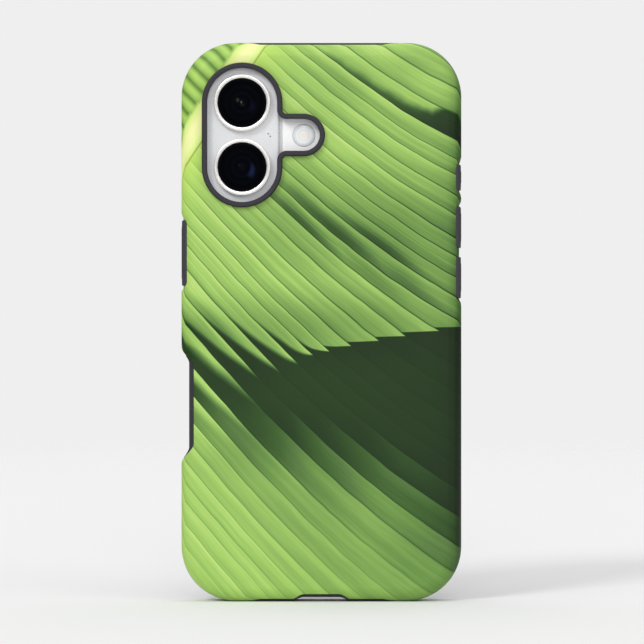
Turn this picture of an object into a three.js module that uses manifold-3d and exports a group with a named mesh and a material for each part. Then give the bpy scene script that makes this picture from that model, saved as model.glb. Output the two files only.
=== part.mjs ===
// A two-layer phone case with the phone it holds, standing on its bottom edge.
// A soft liner wraps the phone, and a hard printed shell snaps over the liner.
// Millimetres. +Z is up the phone, -Y is the printed back, +Y is the screen side.
// The origin is the centre of the bottom edge, half way through the depth.
import * as THREE from "three";
import { mergeVertices } from "three/addons/utils/BufferGeometryUtils.js";
import Module from "manifold-3d";

const wasm = await Module();
wasm.setup();

// ---------------------------------------------------------------- driving dimensions
const PHONE = { width: 71.6, height: 147.6, depth: 7.8, corner: 12.35 };
const FIT = 0.1; // gap between two pieces that sit in each other
const LINER = { wall: 1.15, back: 0.9, edgeRadius: 2.7 };
const SHELL = { wall: 1.1, back: 1.2, edgeRadius: 4 };
const LIP = { rise: 1.1, overlap: 0.7, setBack: 0.25, radius: 0.7 };
const COLLAR = { rise: 1.6, width: 1.35, radius: 0.4 };

// How far each layer's outline lies outside the phone's own outline.
const LINER_IN = FIT;
const LINER_OUT = LINER_IN + LINER.wall;
const SHELL_IN = LINER_OUT + FIT;
const CASE_OUT = SHELL_IN + SHELL.wall;

// Depths of the layers, counted from the middle of the whole depth.
const DEPTH = COLLAR.rise + SHELL.back + FIT + LINER.back + FIT + PHONE.depth + LIP.rise;
const COLLAR_Y = -DEPTH / 2;
const SHELL_Y = COLLAR_Y + COLLAR.rise;
const SHELL_INNER_Y = SHELL_Y + SHELL.back;
const LINER_Y = SHELL_INNER_Y + FIT;
const LINER_INNER_Y = LINER_Y + LINER.back;
const PHONE_Y = LINER_INNER_Y + FIT;
const SCREEN_Y = PHONE_Y + PHONE.depth;
const LIP_Y = DEPTH / 2;
const SHELL_FRONT_Y = SCREEN_Y - 0.4;
const FLANGE_Y = SHELL_FRONT_Y + FIT;

const CASE_HALF = PHONE.width / 2 + CASE_OUT;
const CASE_HEIGHT = PHONE.height + 2 * CASE_OUT;
const PHONE_AT = new THREE.Vector3(0, PHONE_Y, CASE_OUT);
const MIDDLE_Z = CASE_HEIGHT / 2;

// Rear camera, in the phone's own frame: x and z on its back, y = 0 on the back glass.
const CAMERA = {
  x: -21.6,
  upperZ: 133.45,
  lowerZ: 115.95,
  flashX: -4.8,
  flashZ: 124.7,
  plateauRadius: 10.1,
  plateauRise: 1.5,
  plateauEdge: 0.9,
  footRadius: 11,
  footRise: 0.4,
  ringRadius: 7.75,
  ringY: -3.3,
  ledgeY: -2.2,
  glassRadius: 6.65,
  glassY: -3.05,
  barrelRadius: 5.6,
};
const FLASH = { radius: 3, dome: 0.1 };
const MICROPHONE = { x: -14.2, radius: 0.4 };
// The collar of the liner round the camera: a tall pill with an ear over the flash.
const COLLAR_PILL = 10.9;
const COLLAR_EAR = 5.7;
const COLLAR_NOTCH = 1.2;

// Side keys. side is -1 for the left edge seen from the back, z is the key's middle.
const KEYS = [
  { name: "side_button", side: -1, z: 95.06, pad: 18, key: 16.2 },
  { name: "action_button", side: 1, z: 115.7, pad: 7.1, key: 5.6 },
  { name: "volume_up", side: 1, z: 102.07, pad: 11.4, key: 9.8 },
  { name: "volume_down", side: 1, z: 88.34, pad: 11.4, key: 9.8 },
];
const CAMERA_KEY = { name: "camera_control", side: -1, z: 53.5, key: 18, recess: 0.05 };
const KEY = { width: 3, proud: 0.5, tail: 2.2, travel: 0.3, slot: 0.12 };
const PAD = { back: -3.5, front: 3, corner: 1.2, gap: 0.15, flange: 0.5, flangeReach: 0.8 };
const KEY_Y = PHONE_Y + PHONE.depth / 2;
const PAD_FLOOR = PHONE.width / 2 + KEY.proud + PAD.gap;

// Shallow dips in the case's sides round the keys, and the finger notch at the camera key.
// Each bites into an edge by its depth, and eases back out to the edge over its ramp.
const DIP = { margin: 0.3, ramp: 1.3, depth: 0.6 };
const DIPS = [
  { side: -1, low: KEYS[0], high: KEYS[0] },
  { side: 1, low: KEYS[1], high: KEYS[1] },
  { side: 1, low: KEYS[3], high: KEYS[2] },
];
const SHELL_NOTCH = { half: 10.4, ramp: 5.6, depth: 3.5 };
const LINER_NOTCH = { half: 11.4, ramp: 4.4, depth: 2.15 };

// Windows in the shell's top and bottom walls, where the liner stands flush.
const WINDOW = { half: 22.3, shoulder: 16.8, back: -3 };
// The charging port's recess in the bottom edge, the hole for the plug and the sound slots.
const SHELL_RECESS = { half: 4.7, ramp: 4.6, depth: 2.05 };
const LINER_RECESS = { half: 4.9, ramp: 3.4, depth: 1.15 };
const PLUG_HOLE = [12.6, 6.6];
const SOUND = { from: 9.6, to: 19.4, width: 1.8 };
const SOCKET = { width: 8.4, height: 2.6, length: 7, wall: 0.3, end: 0.6 };

// ---------------------------------------------------------------- shapes
const ARC_STEPS = 4; // three.js draws two chords for each step of an arc
const FINE_ARC = 6; // for half circles
const BEYOND = 5; // how far a cutting box reaches past what it cuts
const PLAY = 0.15; // the liner's play round the camera plateau

function roundedRect(width, height, corner, x = 0, y = 0) {
  const radius = Math.min(corner, width / 2 - 0.01, height / 2 - 0.01);
  const [w, h] = [width / 2 - radius, height / 2 - radius];
  const shape = new THREE.Shape();
  shape.absarc(x + w, y - h, radius, -Math.PI / 2, 0);
  shape.absarc(x + w, y + h, radius, 0, Math.PI / 2);
  shape.absarc(x - w, y + h, radius, Math.PI / 2, Math.PI);
  shape.absarc(x - w, y - h, radius, Math.PI, 1.5 * Math.PI);
  return shape.closePath();
}

const polygon = (points) => new THREE.Shape(points.map(([x, y]) => new THREE.Vector2(x, y)));

// The phone's outline grown outward, about a middle height.
const outline = (grow, middle = MIDDLE_Z) =>
  roundedRect(
    PHONE.width + 2 * grow,
    PHONE.height + 2 * grow,
    PHONE.corner + grow,
    0,
    middle,
  );

// The collar's outline round the camera, in the case's frame.
function collarOutline(grow) {
  const [pill, ear, notch] = [COLLAR_PILL + grow, COLLAR_EAR + grow, COLLAR_NOTCH - grow];
  const [x, low, high] = [CAMERA.x, CAMERA.lowerZ + CASE_OUT, CAMERA.upperZ + CASE_OUT];
  const [earX, earZ] = [CAMERA.flashX, CAMERA.flashZ + CASE_OUT];
  const cornerX = x + pill + notch;
  const shape = new THREE.Shape();
  shape.absarc(x, low, pill, Math.PI, 2 * Math.PI);
  shape.absarc(cornerX, earZ - ear - notch, notch, Math.PI, Math.PI / 2, true);
  shape.absarc(earX, earZ, ear, -Math.PI / 2, Math.PI / 2);
  shape.absarc(cornerX, earZ + ear + notch, notch, 1.5 * Math.PI, Math.PI, true);
  shape.absarc(x, high, pill, 0, Math.PI);
  return shape.closePath();
}

// The tall pill of the camera plateau, in the phone's frame.
function plateauOutline(radius) {
  const shape = new THREE.Shape();
  shape.absarc(CAMERA.x, CAMERA.lowerZ, radius, Math.PI, 2 * Math.PI);
  shape.absarc(CAMERA.x, CAMERA.upperZ, radius, 0, Math.PI);
  return shape.closePath();
}

// ---------------------------------------------------------------- geometry
function extruded(shape, length, rounding, steps, arcSteps) {
  return new THREE.ExtrudeGeometry(shape, {
    depth: length - 2 * rounding,
    bevelEnabled: rounding > 0,
    bevelThickness: rounding,
    bevelSize: rounding,
    bevelOffset: -rounding,
    bevelSegments: steps,
    curveSegments: arcSteps,
  }).translate(0, 0, rounding);
}

// A shape drawn in x and z, from one depth to another.
const plateY = (shape, back, front, rounding = 0, steps = 3, arcSteps = ARC_STEPS) =>
  extruded(shape, front - back, rounding, steps, arcSteps)
    .rotateX(Math.PI / 2)
    .translate(0, front, 0);

// A shape drawn in y and z, from one x to another.
const TO_SIDE = new THREE.Matrix4().makeBasis(
  new THREE.Vector3(0, 1, 0),
  new THREE.Vector3(0, 0, 1),
  new THREE.Vector3(1, 0, 0),
);
const plateX = (shape, from, to, rounding = 0, arcSteps = 1) =>
  extruded(shape, to - from, rounding, 2, arcSteps).applyMatrix4(TO_SIDE).translate(from, 0, 0);

// A shape drawn in x and y, from one height to another.
const plateZ = (shape, from, to, arcSteps = 2) =>
  extruded(shape, to - from, 0, 1, arcSteps).translate(0, 0, from);

const boxBetween = ([x0, y0, z0], [x1, y1, z1]) =>
  new THREE.BoxGeometry(x1 - x0, y1 - y0, z1 - z0).translate(
    (x0 + x1) / 2,
    (y0 + y1) / 2,
    (z0 + z1) / 2,
  );

// A box over the whole case, from one depth to another.
const wholeBox = (back, front) =>
  boxBetween([-CASE_HALF - BEYOND, back, -BEYOND], [CASE_HALF + BEYOND, front, CASE_HEIGHT + BEYOND]);

// The same shape on either side edge: x from the phone's middle outward.
const sideSpan = (side, near, far) => (side > 0 ? [near, far] : [-far, -near]);

const roundBar = (radius, back, front, segments = 24) =>
  new THREE.CylinderGeometry(radius, radius, front - back, segments).translate(
    0,
    (back + front) / 2,
    0,
  );

// ---------------------------------------------------------------- booleans
function solid(geometry) {
  const bare = new THREE.BufferGeometry().setAttribute("position", geometry.attributes.position);
  if (geometry.index) bare.setIndex(geometry.index);
  const merged = mergeVertices(bare.index ? bare.toNonIndexed() : bare, 1e-4);
  return new wasm.Manifold(
    new wasm.Mesh({
      numProp: 3,
      vertProperties: new Float32Array(merged.attributes.position.array),
      triVerts: new Uint32Array(merged.index.array),
    }),
  );
}

const cutAll = (body, tools) => tools.reduce((left, tool) => left.subtract(solid(tool)), body);
const joinAll = (first, rest) => rest.reduce((whole, piece) => whole.add(piece), first);

function geometryOf(body) {
  const mesh = body.getMesh();
  const points = new Float32Array(mesh.numVert * 3);
  for (let i = 0; i < mesh.numVert; i++)
    points.set(mesh.vertProperties.subarray(i * mesh.numProp, i * mesh.numProp + 3), i * 3);
  const geometry = new THREE.BufferGeometry();
  geometry.setAttribute("position", new THREE.BufferAttribute(points, 3));
  geometry.setIndex(new THREE.BufferAttribute(new Uint32Array(mesh.triVerts), 1));
  geometry.computeVertexNormals();
  return geometry;
}

// ---------------------------------------------------------------- materials
const finish = (color, roughness, metalness = 0) =>
  new THREE.MeshStandardMaterial({ color, roughness, metalness });
const PRINTED = finish(0x8dba58, 0.42);
const RUBBER = finish(0x35343a, 0.8);
const KEYCAP = finish(0x2c2d31, 0.6);
const ALUMINIUM = finish(0xd9dadc, 0.35, 1);
const WHITE_GLASS = finish(0xe9eaec, 0.3);
const BLACK_GLASS = finish(0x08090b, 0.05);
const DIFFUSER = finish(0xf4f0e4, 0.2);
const BLACK_PLASTIC = finish(0x1b1c1e, 0.6);
const STEEL = finish(0x9a9ca0, 0.35, 1);
const FOIL = finish(0x2a2b2e, 0.5);
const BOARD = finish(0x163a2a, 0.5);
const COPPER = finish(0xb86f3c, 0.4, 1);

function piece(parent, name, geometry, material, x = 0, y = 0, z = 0) {
  const mesh = new THREE.Mesh(geometry, material);
  mesh.name = name;
  mesh.position.set(x, y, z);
  parent.add(mesh);
  return mesh;
}

// ---------------------------------------------------------------- the case's outside
// The outer form that the shell, the exposed liner and the pads share.
function caseBody() {
  const rounded = solid(
    plateY(outline(CASE_OUT), SHELL_Y, LIP_Y + 2 * SHELL.edgeRadius, SHELL.edgeRadius, 4),
  );
  const behindLip = plateY(outline(CASE_OUT), SHELL_Y - 2, LIP_Y, LIP.radius, 2);
  return rounded.intersect(solid(behindLip));
}

// A bite out of an edge, through the whole depth. place turns a distance along the edge
// and a distance into the case into x and z.
function bite(place, { half, ramp, depth }) {
  const [end, turn] = [half + ramp, half + ramp / 2];
  const shape = new THREE.Shape();
  shape.moveTo(...place(end, -1));
  shape.lineTo(...place(-end, -1));
  shape.lineTo(...place(-end, 0));
  shape.bezierCurveTo(...place(-turn, 0), ...place(-turn, depth), ...place(-half, depth));
  shape.lineTo(...place(half, depth));
  shape.bezierCurveTo(...place(turn, depth), ...place(turn, 0), ...place(end, 0));
  return plateY(shape.closePath(), COLLAR_Y - 1, LIP_Y + 1);
}

const onSide = (side, middle) => (along, inward) => [
  side * (CASE_HALF - inward),
  middle - side * along,
];

const onFoot = (along, inward) => [-along, inward];

const dipCuts = () =>
  DIPS.map(({ side, low, high }) => {
    const [from, to] = [low.z - low.pad / 2, high.z + high.pad / 2];
    const half = (to - from) / 2 + DIP.margin;
    return bite(onSide(side, (from + to) / 2), { ...DIP, half });
  });

const notchCut = (notch) => bite(onSide(CAMERA_KEY.side, CAMERA_KEY.z), notch);

// The windows in the top and bottom walls, drawn in x and y. shrink makes the liner's filling.
function windowPrisms(shrink) {
  const [half, shoulder] = [WINDOW.half - shrink, WINDOW.shoulder - shrink];
  const [back, front] = [WINDOW.back + shrink, LIP_Y + 1];
  const flare = SHELL_Y + SHELL.edgeRadius + shrink;
  const shape = polygon([
    [-half, front],
    [-half, flare],
    [-shoulder, back],
    [shoulder, back],
    [half, flare],
    [half, front],
  ]);
  return [
    plateZ(shape, -1, CASE_OUT + 1),
    plateZ(shape, CASE_HEIGHT - CASE_OUT - 1, CASE_HEIGHT + 1),
  ];
}

// ---------------------------------------------------------------- the pads over the keys
const padOutline = (key, grow) =>
  roundedRect(
    PAD.front - PAD.back + 2 * grow,
    key.pad + 2 * grow,
    PAD.corner + grow,
    (PAD.front + PAD.back) / 2,
    key.z,
  );

const flangeOutline = (key, grow) => {
  const back = SHELL_Y + SHELL.edgeRadius + 0.1 - grow;
  const front = PAD.front + PAD.flangeReach + grow;
  const height = key.pad + 2 * PAD.flangeReach + 2 * grow;
  return roundedRect(front - back, height, 1 + grow, (front + back) / 2, key.z);
};

// A pad fills its window out to the case's own surface, and its flange is held by the shell.
function padOf(key, body) {
  const core = plateX(padOutline(key, 0), ...sideSpan(key.side, PAD_FLOOR, CASE_HALF), 0.4, 2);
  const flangeAt = PHONE.width / 2 + LINER_OUT - PAD.flange;
  const flange = plateX(
    flangeOutline(key, 0),
    ...sideSpan(key.side, flangeAt, flangeAt + PAD.flange),
  );
  return solid(core).intersect(body).add(solid(flange));
}

// Room in the liner for a pad, its flange and the phone's key below it.
function padPockets(key) {
  const deep = KEY.travel + 0.05;
  const flangeAt = PHONE.width / 2 + LINER_OUT - PAD.flange;
  const far = CASE_HALF + 1;
  const window = roundedRect(KEY.width + 1, key.key + 1, 1.6, KEY_Y, key.z);
  return [
    plateX(padOutline(key, FIT), ...sideSpan(key.side, PAD_FLOOR - deep, far)),
    plateX(flangeOutline(key, FIT), ...sideSpan(key.side, flangeAt - deep, far)),
    plateX(window, ...sideSpan(key.side, PHONE.width / 2 - 1, far)),
  ];
}

// ---------------------------------------------------------------- shell and liner
function outerShell(body) {
  const inner = plateY(
    outline(SHELL_IN),
    SHELL_INNER_Y,
    LIP_Y + 4,
    LINER.edgeRadius + FIT,
    3,
  );
  const ahead = wholeBox(SHELL_FRONT_Y, LIP_Y + BEYOND);
  const camera = plateY(collarOutline(FIT), COLLAR_Y, PHONE_Y, 0, 1, FINE_ARC);
  const pads = KEYS.map((key) =>
    plateX(padOutline(key, FIT), ...sideSpan(key.side, PHONE.width / 2 - 3, CASE_HALF + 1), 0, 2),
  );
  return cutAll(body, [
    inner,
    ahead,
    camera,
    ...pads,
    ...windowPrisms(0),
    ...dipCuts(),
    notchCut(SHELL_NOTCH),
    bite(onFoot, SHELL_RECESS),
  ]);
}

function linerBody(body) {
  const tray = solid(
    plateY(outline(LINER_OUT), LINER_Y, LIP_Y + 4, LINER.edgeRadius, 3),
  ).subtract(solid(wholeBox(FLANGE_Y + 0.2, LIP_Y + 2 * BEYOND)));
  const flange = solid(plateY(outline(CASE_OUT - LIP.setBack), FLANGE_Y, LIP_Y, LIP.radius, 2));
  const square = solid(plateY(outline(CASE_OUT - LIP.setBack), FLANGE_Y, LIP_Y - LIP.radius));
  const collar = solid(
    plateY(collarOutline(0), COLLAR_Y, LINER_INNER_Y + 1.2, COLLAR.radius, 2, FINE_ARC),
  ).subtract(solid(wholeBox(LINER_INNER_Y, PHONE_Y + 3)));
  const fillings = windowPrisms(FIT).map((prism) => solid(prism).intersect(body));
  return joinAll(tray, [flange, square, collar, ...fillings]);
}

function soundSlots() {
  const length = SOUND.to - SOUND.from;
  const middle = (SOUND.from + SOUND.to) / 2;
  return [-1, 1].map((side) =>
    plateZ(
      roundedRect(length, SOUND.width, SOUND.width / 2 - 0.01, side * middle, KEY_Y),
      -1,
      CASE_OUT + 1,
    ),
  );
}

function innerLiner(body) {
  const plateau = CAMERA.plateauRadius + PLAY - COLLAR_PILL;
  const ledgeY = PHONE_Y - CAMERA.plateauRise - PLAY;
  const foot = CAMERA.footRadius + PLAY - COLLAR_PILL;
  const plug = roundedRect(...PLUG_HOLE, 2.6, 0, KEY_Y);
  return cutAll(linerBody(body), [
    plateY(outline(LINER_IN), LINER_INNER_Y, SCREEN_Y + FIT),
    plateY(outline(-LIP.overlap), SCREEN_Y, LIP_Y + 1),
    plateY(collarOutline(plateau), ledgeY, PHONE_Y, 0, 1, FINE_ARC),
    plateY(collarOutline(foot), PHONE_Y - CAMERA.footRise - PLAY, PHONE_Y, 0, 1, FINE_ARC),
    plateY(collarOutline(-COLLAR.width), COLLAR_Y - 1, PHONE_Y, 0, 1, FINE_ARC),
    ...KEYS.flatMap(padPockets),
    ...dipCuts(),
    notchCut(LINER_NOTCH),
    cameraKeyWindow(),
    bite(onFoot, LINER_RECESS),
    plateZ(plug, -1, CASE_OUT + 1, 3),
    ...soundSlots(),
  ]);
}

// The opening in the liner's wall that bares the camera key.
function cameraKeyWindow() {
  const shape = roundedRect(KEY.width + 2.6, CAMERA_KEY.key + 3.4, 2, KEY_Y, CAMERA_KEY.z);
  return plateX(shape, ...sideSpan(CAMERA_KEY.side, PHONE.width / 2 - 1, CASE_HALF + 1), 0, 3);
}

// ---------------------------------------------------------------- the phone's outside
// From here on lengths are in the phone's frame: y = 0 on the back glass, z = 0 at its foot.
const PHONE_MIDDLE = PHONE.height / 2;
const MID_Y = PHONE.depth / 2;
const GLASS = { thick: 0.8, backInset: 0.9, frontInset: 0.6 };
const FRAME = { wall: 2.4, edge: 0.4, plateFrom: 5.7, plateTo: 6.1 };
const PANEL = { inset: 1.9, from: 6.2, to: 6.9 };
const SCREW = { x: 6.7, headRadius: 0.85, shankRadius: 0.5, length: 4, head: 0.6 };
const FRONT_CAMERA = { x: 3.2, z: 140.5, pill: [12.4, 4.2], barrel: 1.7 };
const PORTS = { holes: 5, pitch: 1.9, radius: 0.65, from: 10.7 };
const inPhone = (grow) => outline(grow, PHONE_MIDDLE);

// A key's pill, drawn in y and z in the phone's frame.
const keyOutline = (key, grow = 0) => {
  const width = KEY.width + 2 * grow;
  const length = key.key + 2 * grow;
  return roundedRect(width, length, width / 2 - 0.01, MID_Y, key.z - CASE_OUT);
};

function phoneFrame() {
  const half = PHONE.width / 2;
  const band = solid(plateY(inPhone(0), 0.1, PHONE.depth - 0.1, FRAME.edge, 1));
  const slots = [...KEYS, CAMERA_KEY].map((key) =>
    plateX(keyOutline(key, KEY.slot), ...sideSpan(key.side, half - FRAME.wall - 1, half + 1)),
  );
  const holes = [-1, 1].flatMap((side) =>
    Array.from({ length: PORTS.holes }, (_, i) =>
      new THREE.CylinderGeometry(PORTS.radius, PORTS.radius, FRAME.wall + 2, 8)
        .rotateX(Math.PI / 2)
        .translate(side * (PORTS.from + i * PORTS.pitch), MID_Y, FRAME.wall / 2),
    ),
  );
  const screws = [-1, 1].map((side) => screwForm(FIT).translate(side * SCREW.x, MID_Y, 0));
  const mouth = roundedRect(SOCKET.width + 0.8, SOCKET.height + 0.8, 2, 0, MID_Y);
  return cutAll(band, [
    plateY(inPhone(FIT - GLASS.backInset), -1, GLASS.thick + FIT),
    plateY(inPhone(-FRAME.wall), 0, FRAME.plateFrom),
    plateY(inPhone(FIT - PANEL.inset), FRAME.plateTo, PHONE.depth),
    plateY(inPhone(FIT - GLASS.frontInset), PANEL.to, PHONE.depth + 1),
    ...slots,
    ...holes,
    ...screws,
    roundBar(FRONT_CAMERA.barrel + 0.3, 5, 7, 16).translate(FRONT_CAMERA.x, 0, FRONT_CAMERA.z),
    plateZ(mouth, -1, FRAME.wall + 1, 3),
  ]);
}

// The display sheet, with a pill left open for the front camera.
function displayPanel() {
  const sheet = solid(plateY(inPhone(-PANEL.inset), PANEL.from, PANEL.to));
  const { pill, z } = FRONT_CAMERA;
  return sheet.subtract(solid(plateY(roundedRect(...pill, 2.1, 0, z), 0, PHONE.depth)));
}

// A small pan-head screw driven up into the frame's foot; grow leaves room round it.
function screwForm(grow) {
  const [head, shank] = [SCREW.headRadius + grow, SCREW.shankRadius + grow];
  const [foot, top] = [grow > 0 ? -1 : 0.05, SCREW.length + grow];
  const profile = [
    [0, foot],
    [head, foot],
    [head, SCREW.head + grow],
    [shank, SCREW.head + grow],
    [shank, top],
    [0, top],
  ];
  return new THREE.LatheGeometry(profile.map(([r, y]) => new THREE.Vector2(r, y)), 12).rotateX(
    Math.PI / 2,
  );
}

function backGlass() {
  const top = -CAMERA.plateauRise;
  const sheet = solid(plateY(inPhone(-GLASS.backInset), 0, GLASS.thick));
  const plateau = solid(
    plateY(plateauOutline(CAMERA.plateauRadius), top, 3, CAMERA.plateauEdge, 3, FINE_ARC),
  ).subtract(solid(wholeBox(GLASS.thick, BEYOND)));
  const foot = solid(
    plateY(plateauOutline(CAMERA.footRadius), -CAMERA.footRise, GLASS.thick, 0.3, 1, FINE_ARC),
  );
  const lensHoles = [CAMERA.upperZ, CAMERA.lowerZ].map((z) =>
    roundBar(CAMERA.barrelRadius + 0.3, top - 1, 2, 32).translate(CAMERA.x, 0, z),
  );
  const flashHole = roundBar(FLASH.radius + FIT, -1, 2, 24);
  const micHole = roundBar(MICROPHONE.radius, top - 1, 2, 10);
  return cutAll(joinAll(sheet, [plateau, foot]), [
    ...lensHoles,
    flashHole.translate(CAMERA.flashX, 0, CAMERA.flashZ),
    micHole.translate(MICROPHONE.x, 0, CAMERA.flashZ),
  ]);
}

// ---------------------------------------------------------------- the rear camera
// Lathe profiles turn about y, which is the optical axis.
const turned = (profile, segments = 32) =>
  new THREE.LatheGeometry(
    profile.map(([r, y]) => new THREE.Vector2(r, y)),
    segments,
  );

function lensRing() {
  const [outer, seat] = [CAMERA.ringRadius, CAMERA.glassRadius + FIT];
  const [foot, top, ledge] = [-CAMERA.plateauRise - 0.05, CAMERA.ringY, CAMERA.ledgeY];
  const bore = CAMERA.barrelRadius + 0.5;
  return turned([
    [bore, ledge],
    [seat, ledge],
    [seat, top + 0.1],
    [seat + 0.1, top],
    [outer - 0.15, top],
    [outer, top + 0.15],
    [outer, foot],
    [bore, foot],
    [bore, ledge],
  ]);
}

const lensGlass = () => roundBar(CAMERA.glassRadius, CAMERA.glassY, CAMERA.ledgeY - 0.05, 32);

function cameraModule() {
  const barrel = solid(roundBar(CAMERA.barrelRadius, -1.9, 1.4));
  const block = solid(boxBetween([-6.8, 1.2, -7.2], [6.8, 5.2, 7.2]));
  return geometryOf(barrel.add(block));
}

function flashLens() {
  const [r, dome] = [FLASH.radius, FLASH.dome];
  return turned(
    [
      [0, -dome],
      [r * 0.6, -dome * 0.7],
      [r, 0],
      [r, GLASS.thick],
      [0, GLASS.thick],
    ],
    24,
  );
}

// ---------------------------------------------------------------- what the phone holds
const block = (w, d, h) => new THREE.BoxGeometry(w, d, h);

// A flat ring in the back, about y.
const flatRing = (inner, outer, thick, segments) =>
  turned(
    [
      [inner, 0],
      [outer, 0],
      [outer, thick],
      [inner, thick],
      [inner, 0],
    ],
    segments,
  );

// The board wraps round the light of the flash.
function logicBoard() {
  const shape = polygon([
    [-10, 97],
    [31, 97],
    [31, 133.5],
    [-10, 133.5],
    [-10, 130],
    [-2, 130],
    [-2, 119.4],
    [-10, 119.4],
  ]);
  return plateY(shape, 3.4, 4.2);
}

function frontCamera() {
  const { x, z, barrel } = FRONT_CAMERA;
  const housing = boxBetween([x - 3.5, 2.2, z - 3.5], [x + 3.5, 5.2, z + 3.5]);
  const tube = roundBar(barrel, 3, PANEL.to, 16).translate(x, 0, z);
  return solid(housing).add(solid(tube));
}

// The socket's steel shell: an oval tube, closed at its inner end.
function socketShell() {
  const { width, height, length, wall, end } = SOCKET;
  const section = (grow) => roundedRect(width + 2 * grow, height + 2 * grow, 1.6 + grow, 0, MID_Y);
  const outer = solid(plateZ(section(wall), 0.3, length, 3));
  return outer.subtract(solid(plateZ(section(0), -1, length - end, 3)));
}

function addPhone(parent) {
  const phone = new THREE.Group();
  phone.position.copy(PHONE_AT);
  parent.add(phone);
  const { x, upperZ, lowerZ, flashX, flashZ } = CAMERA;
  const frontGlass = plateY(
    inPhone(-GLASS.frontInset),
    PHONE.depth - GLASS.thick,
    PHONE.depth,
  );
  piece(phone, "phone_frame", geometryOf(phoneFrame()), ALUMINIUM);
  piece(phone, "back_glass", geometryOf(backGlass()), WHITE_GLASS);
  piece(phone, "display_glass", frontGlass, BLACK_GLASS);
  piece(phone, "display_panel", geometryOf(displayPanel()), BLACK_GLASS);
  for (const [name, z] of [["upper", upperZ], ["lower", lowerZ]]) {
    piece(phone, name + "_lens_ring", lensRing(), ALUMINIUM, x, 0, z);
    piece(phone, name + "_lens_glass", lensGlass(), BLACK_GLASS, x, 0, z);
    piece(phone, name + "_camera_module", cameraModule(), BLACK_PLASTIC, x, 0, z);
  }
  piece(phone, "flash_lens", flashLens(), DIFFUSER, flashX, 0, flashZ);
  piece(phone, "flash_led", block(2.4, 0.5, 2.4), DIFFUSER, flashX, 1.25, flashZ);
  piece(phone, "rear_microphone", block(2.4, 1, 2.4), STEEL, MICROPHONE.x + 1, 1.5, flashZ);
  addKeys(phone);
  addInside(phone);
}

// The phone's own metal keys, each over a dome switch on the inside of the frame.
function addKeys(phone) {
  const half = PHONE.width / 2;
  for (const key of [...KEYS, CAMERA_KEY]) {
    const proud = key === CAMERA_KEY ? -CAMERA_KEY.recess : KEY.proud;
    const span = sideSpan(key.side, half - KEY.tail, half + proud);
    piece(phone, key.name + "_key", plateX(keyOutline(key), ...span, 0, 3), ALUMINIUM);
    const switchX = key.side * (half - KEY.tail - KEY.travel - 0.5);
    const dome = block(0.9, 2.6, 3.4);
    piece(phone, key.name + "_switch", dome, STEEL, switchX, MID_Y, key.z - CASE_OUT);
  }
}

// The parts that are plain blocks: their size and their middle, both as x, y, z.
const BLOCKS = [
  { name: "battery", material: FOIL, size: [40, 3.4, 80], at: [-10, 3.5, 55] },
  { name: "processor_shield", material: STEEL, size: [22, 1, 18], at: [14, 2.7, 108] },
  { name: "radio_shield", material: STEEL, size: [22, 1, 12], at: [15, 2.7, 125.5] },
  { name: "ear_speaker", material: BLACK_PLASTIC, size: [10, 2.6, 4.6], at: [-8, 2.6, 142.4] },
  { name: "haptic_motor", material: STEEL, size: [20, 3.2, 7], at: [-20, 3.4, 8.4] },
  { name: "bottom_speaker", material: BLACK_PLASTIC, size: [17, 3.4, 26], at: [22, 3.2, 26] },
  { name: "socket_tongue", material: BLACK_PLASTIC, size: [6.6, 0.7, 5.2], at: [0, MID_Y, 3.6] },
];
const COIL = { inner: 11, outer: 21.5, thick: 0.5, y: 0.95, z: 70 };
const MAGNETS = { inner: 23.5, outer: 27 };

function addInside(phone) {
  const { inner, outer, thick, y, z } = COIL;
  const magnets = flatRing(MAGNETS.inner, MAGNETS.outer, thick, 32);
  piece(phone, "charging_coil", flatRing(inner, outer, thick, 32), COPPER, 0, y, z);
  piece(phone, "magnet_ring", magnets, STEEL, 0, y, z);
  piece(phone, "logic_board", logicBoard(), BOARD);
  piece(phone, "front_camera_module", geometryOf(frontCamera()), BLACK_PLASTIC);
  piece(phone, "charging_socket", geometryOf(socketShell()), STEEL);
  for (const { name, material, size, at } of BLOCKS)
    piece(phone, name, block(...size), material, ...at);
  for (const [name, side] of [["left", -1], ["right", 1]])
    piece(phone, name + "_foot_screw", screwForm(0), STEEL, side * SCREW.x, MID_Y, 0);
}

// ---------------------------------------------------------------- assembly
const cased = new THREE.Group();
const body = caseBody();
piece(cased, "outer_shell", geometryOf(outerShell(body)), PRINTED);
piece(cased, "inner_liner", geometryOf(innerLiner(body)), RUBBER);
for (const key of KEYS)
  piece(cased, key.name + "_pad", geometryOf(padOf(key, body)), KEYCAP);
addPhone(cased);

export default cased;
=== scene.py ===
# %% [markdown]
# # A phone in a two-layer case, seen from its printed back
# The object is a hard printed shell, snapped over a soft rubber liner, which holds a phone
# with two rear lenses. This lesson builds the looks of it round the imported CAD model.
# The CAD model is the measure of everything, so it is loaded first and never changed.

# %% Load the frame
import math

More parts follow.
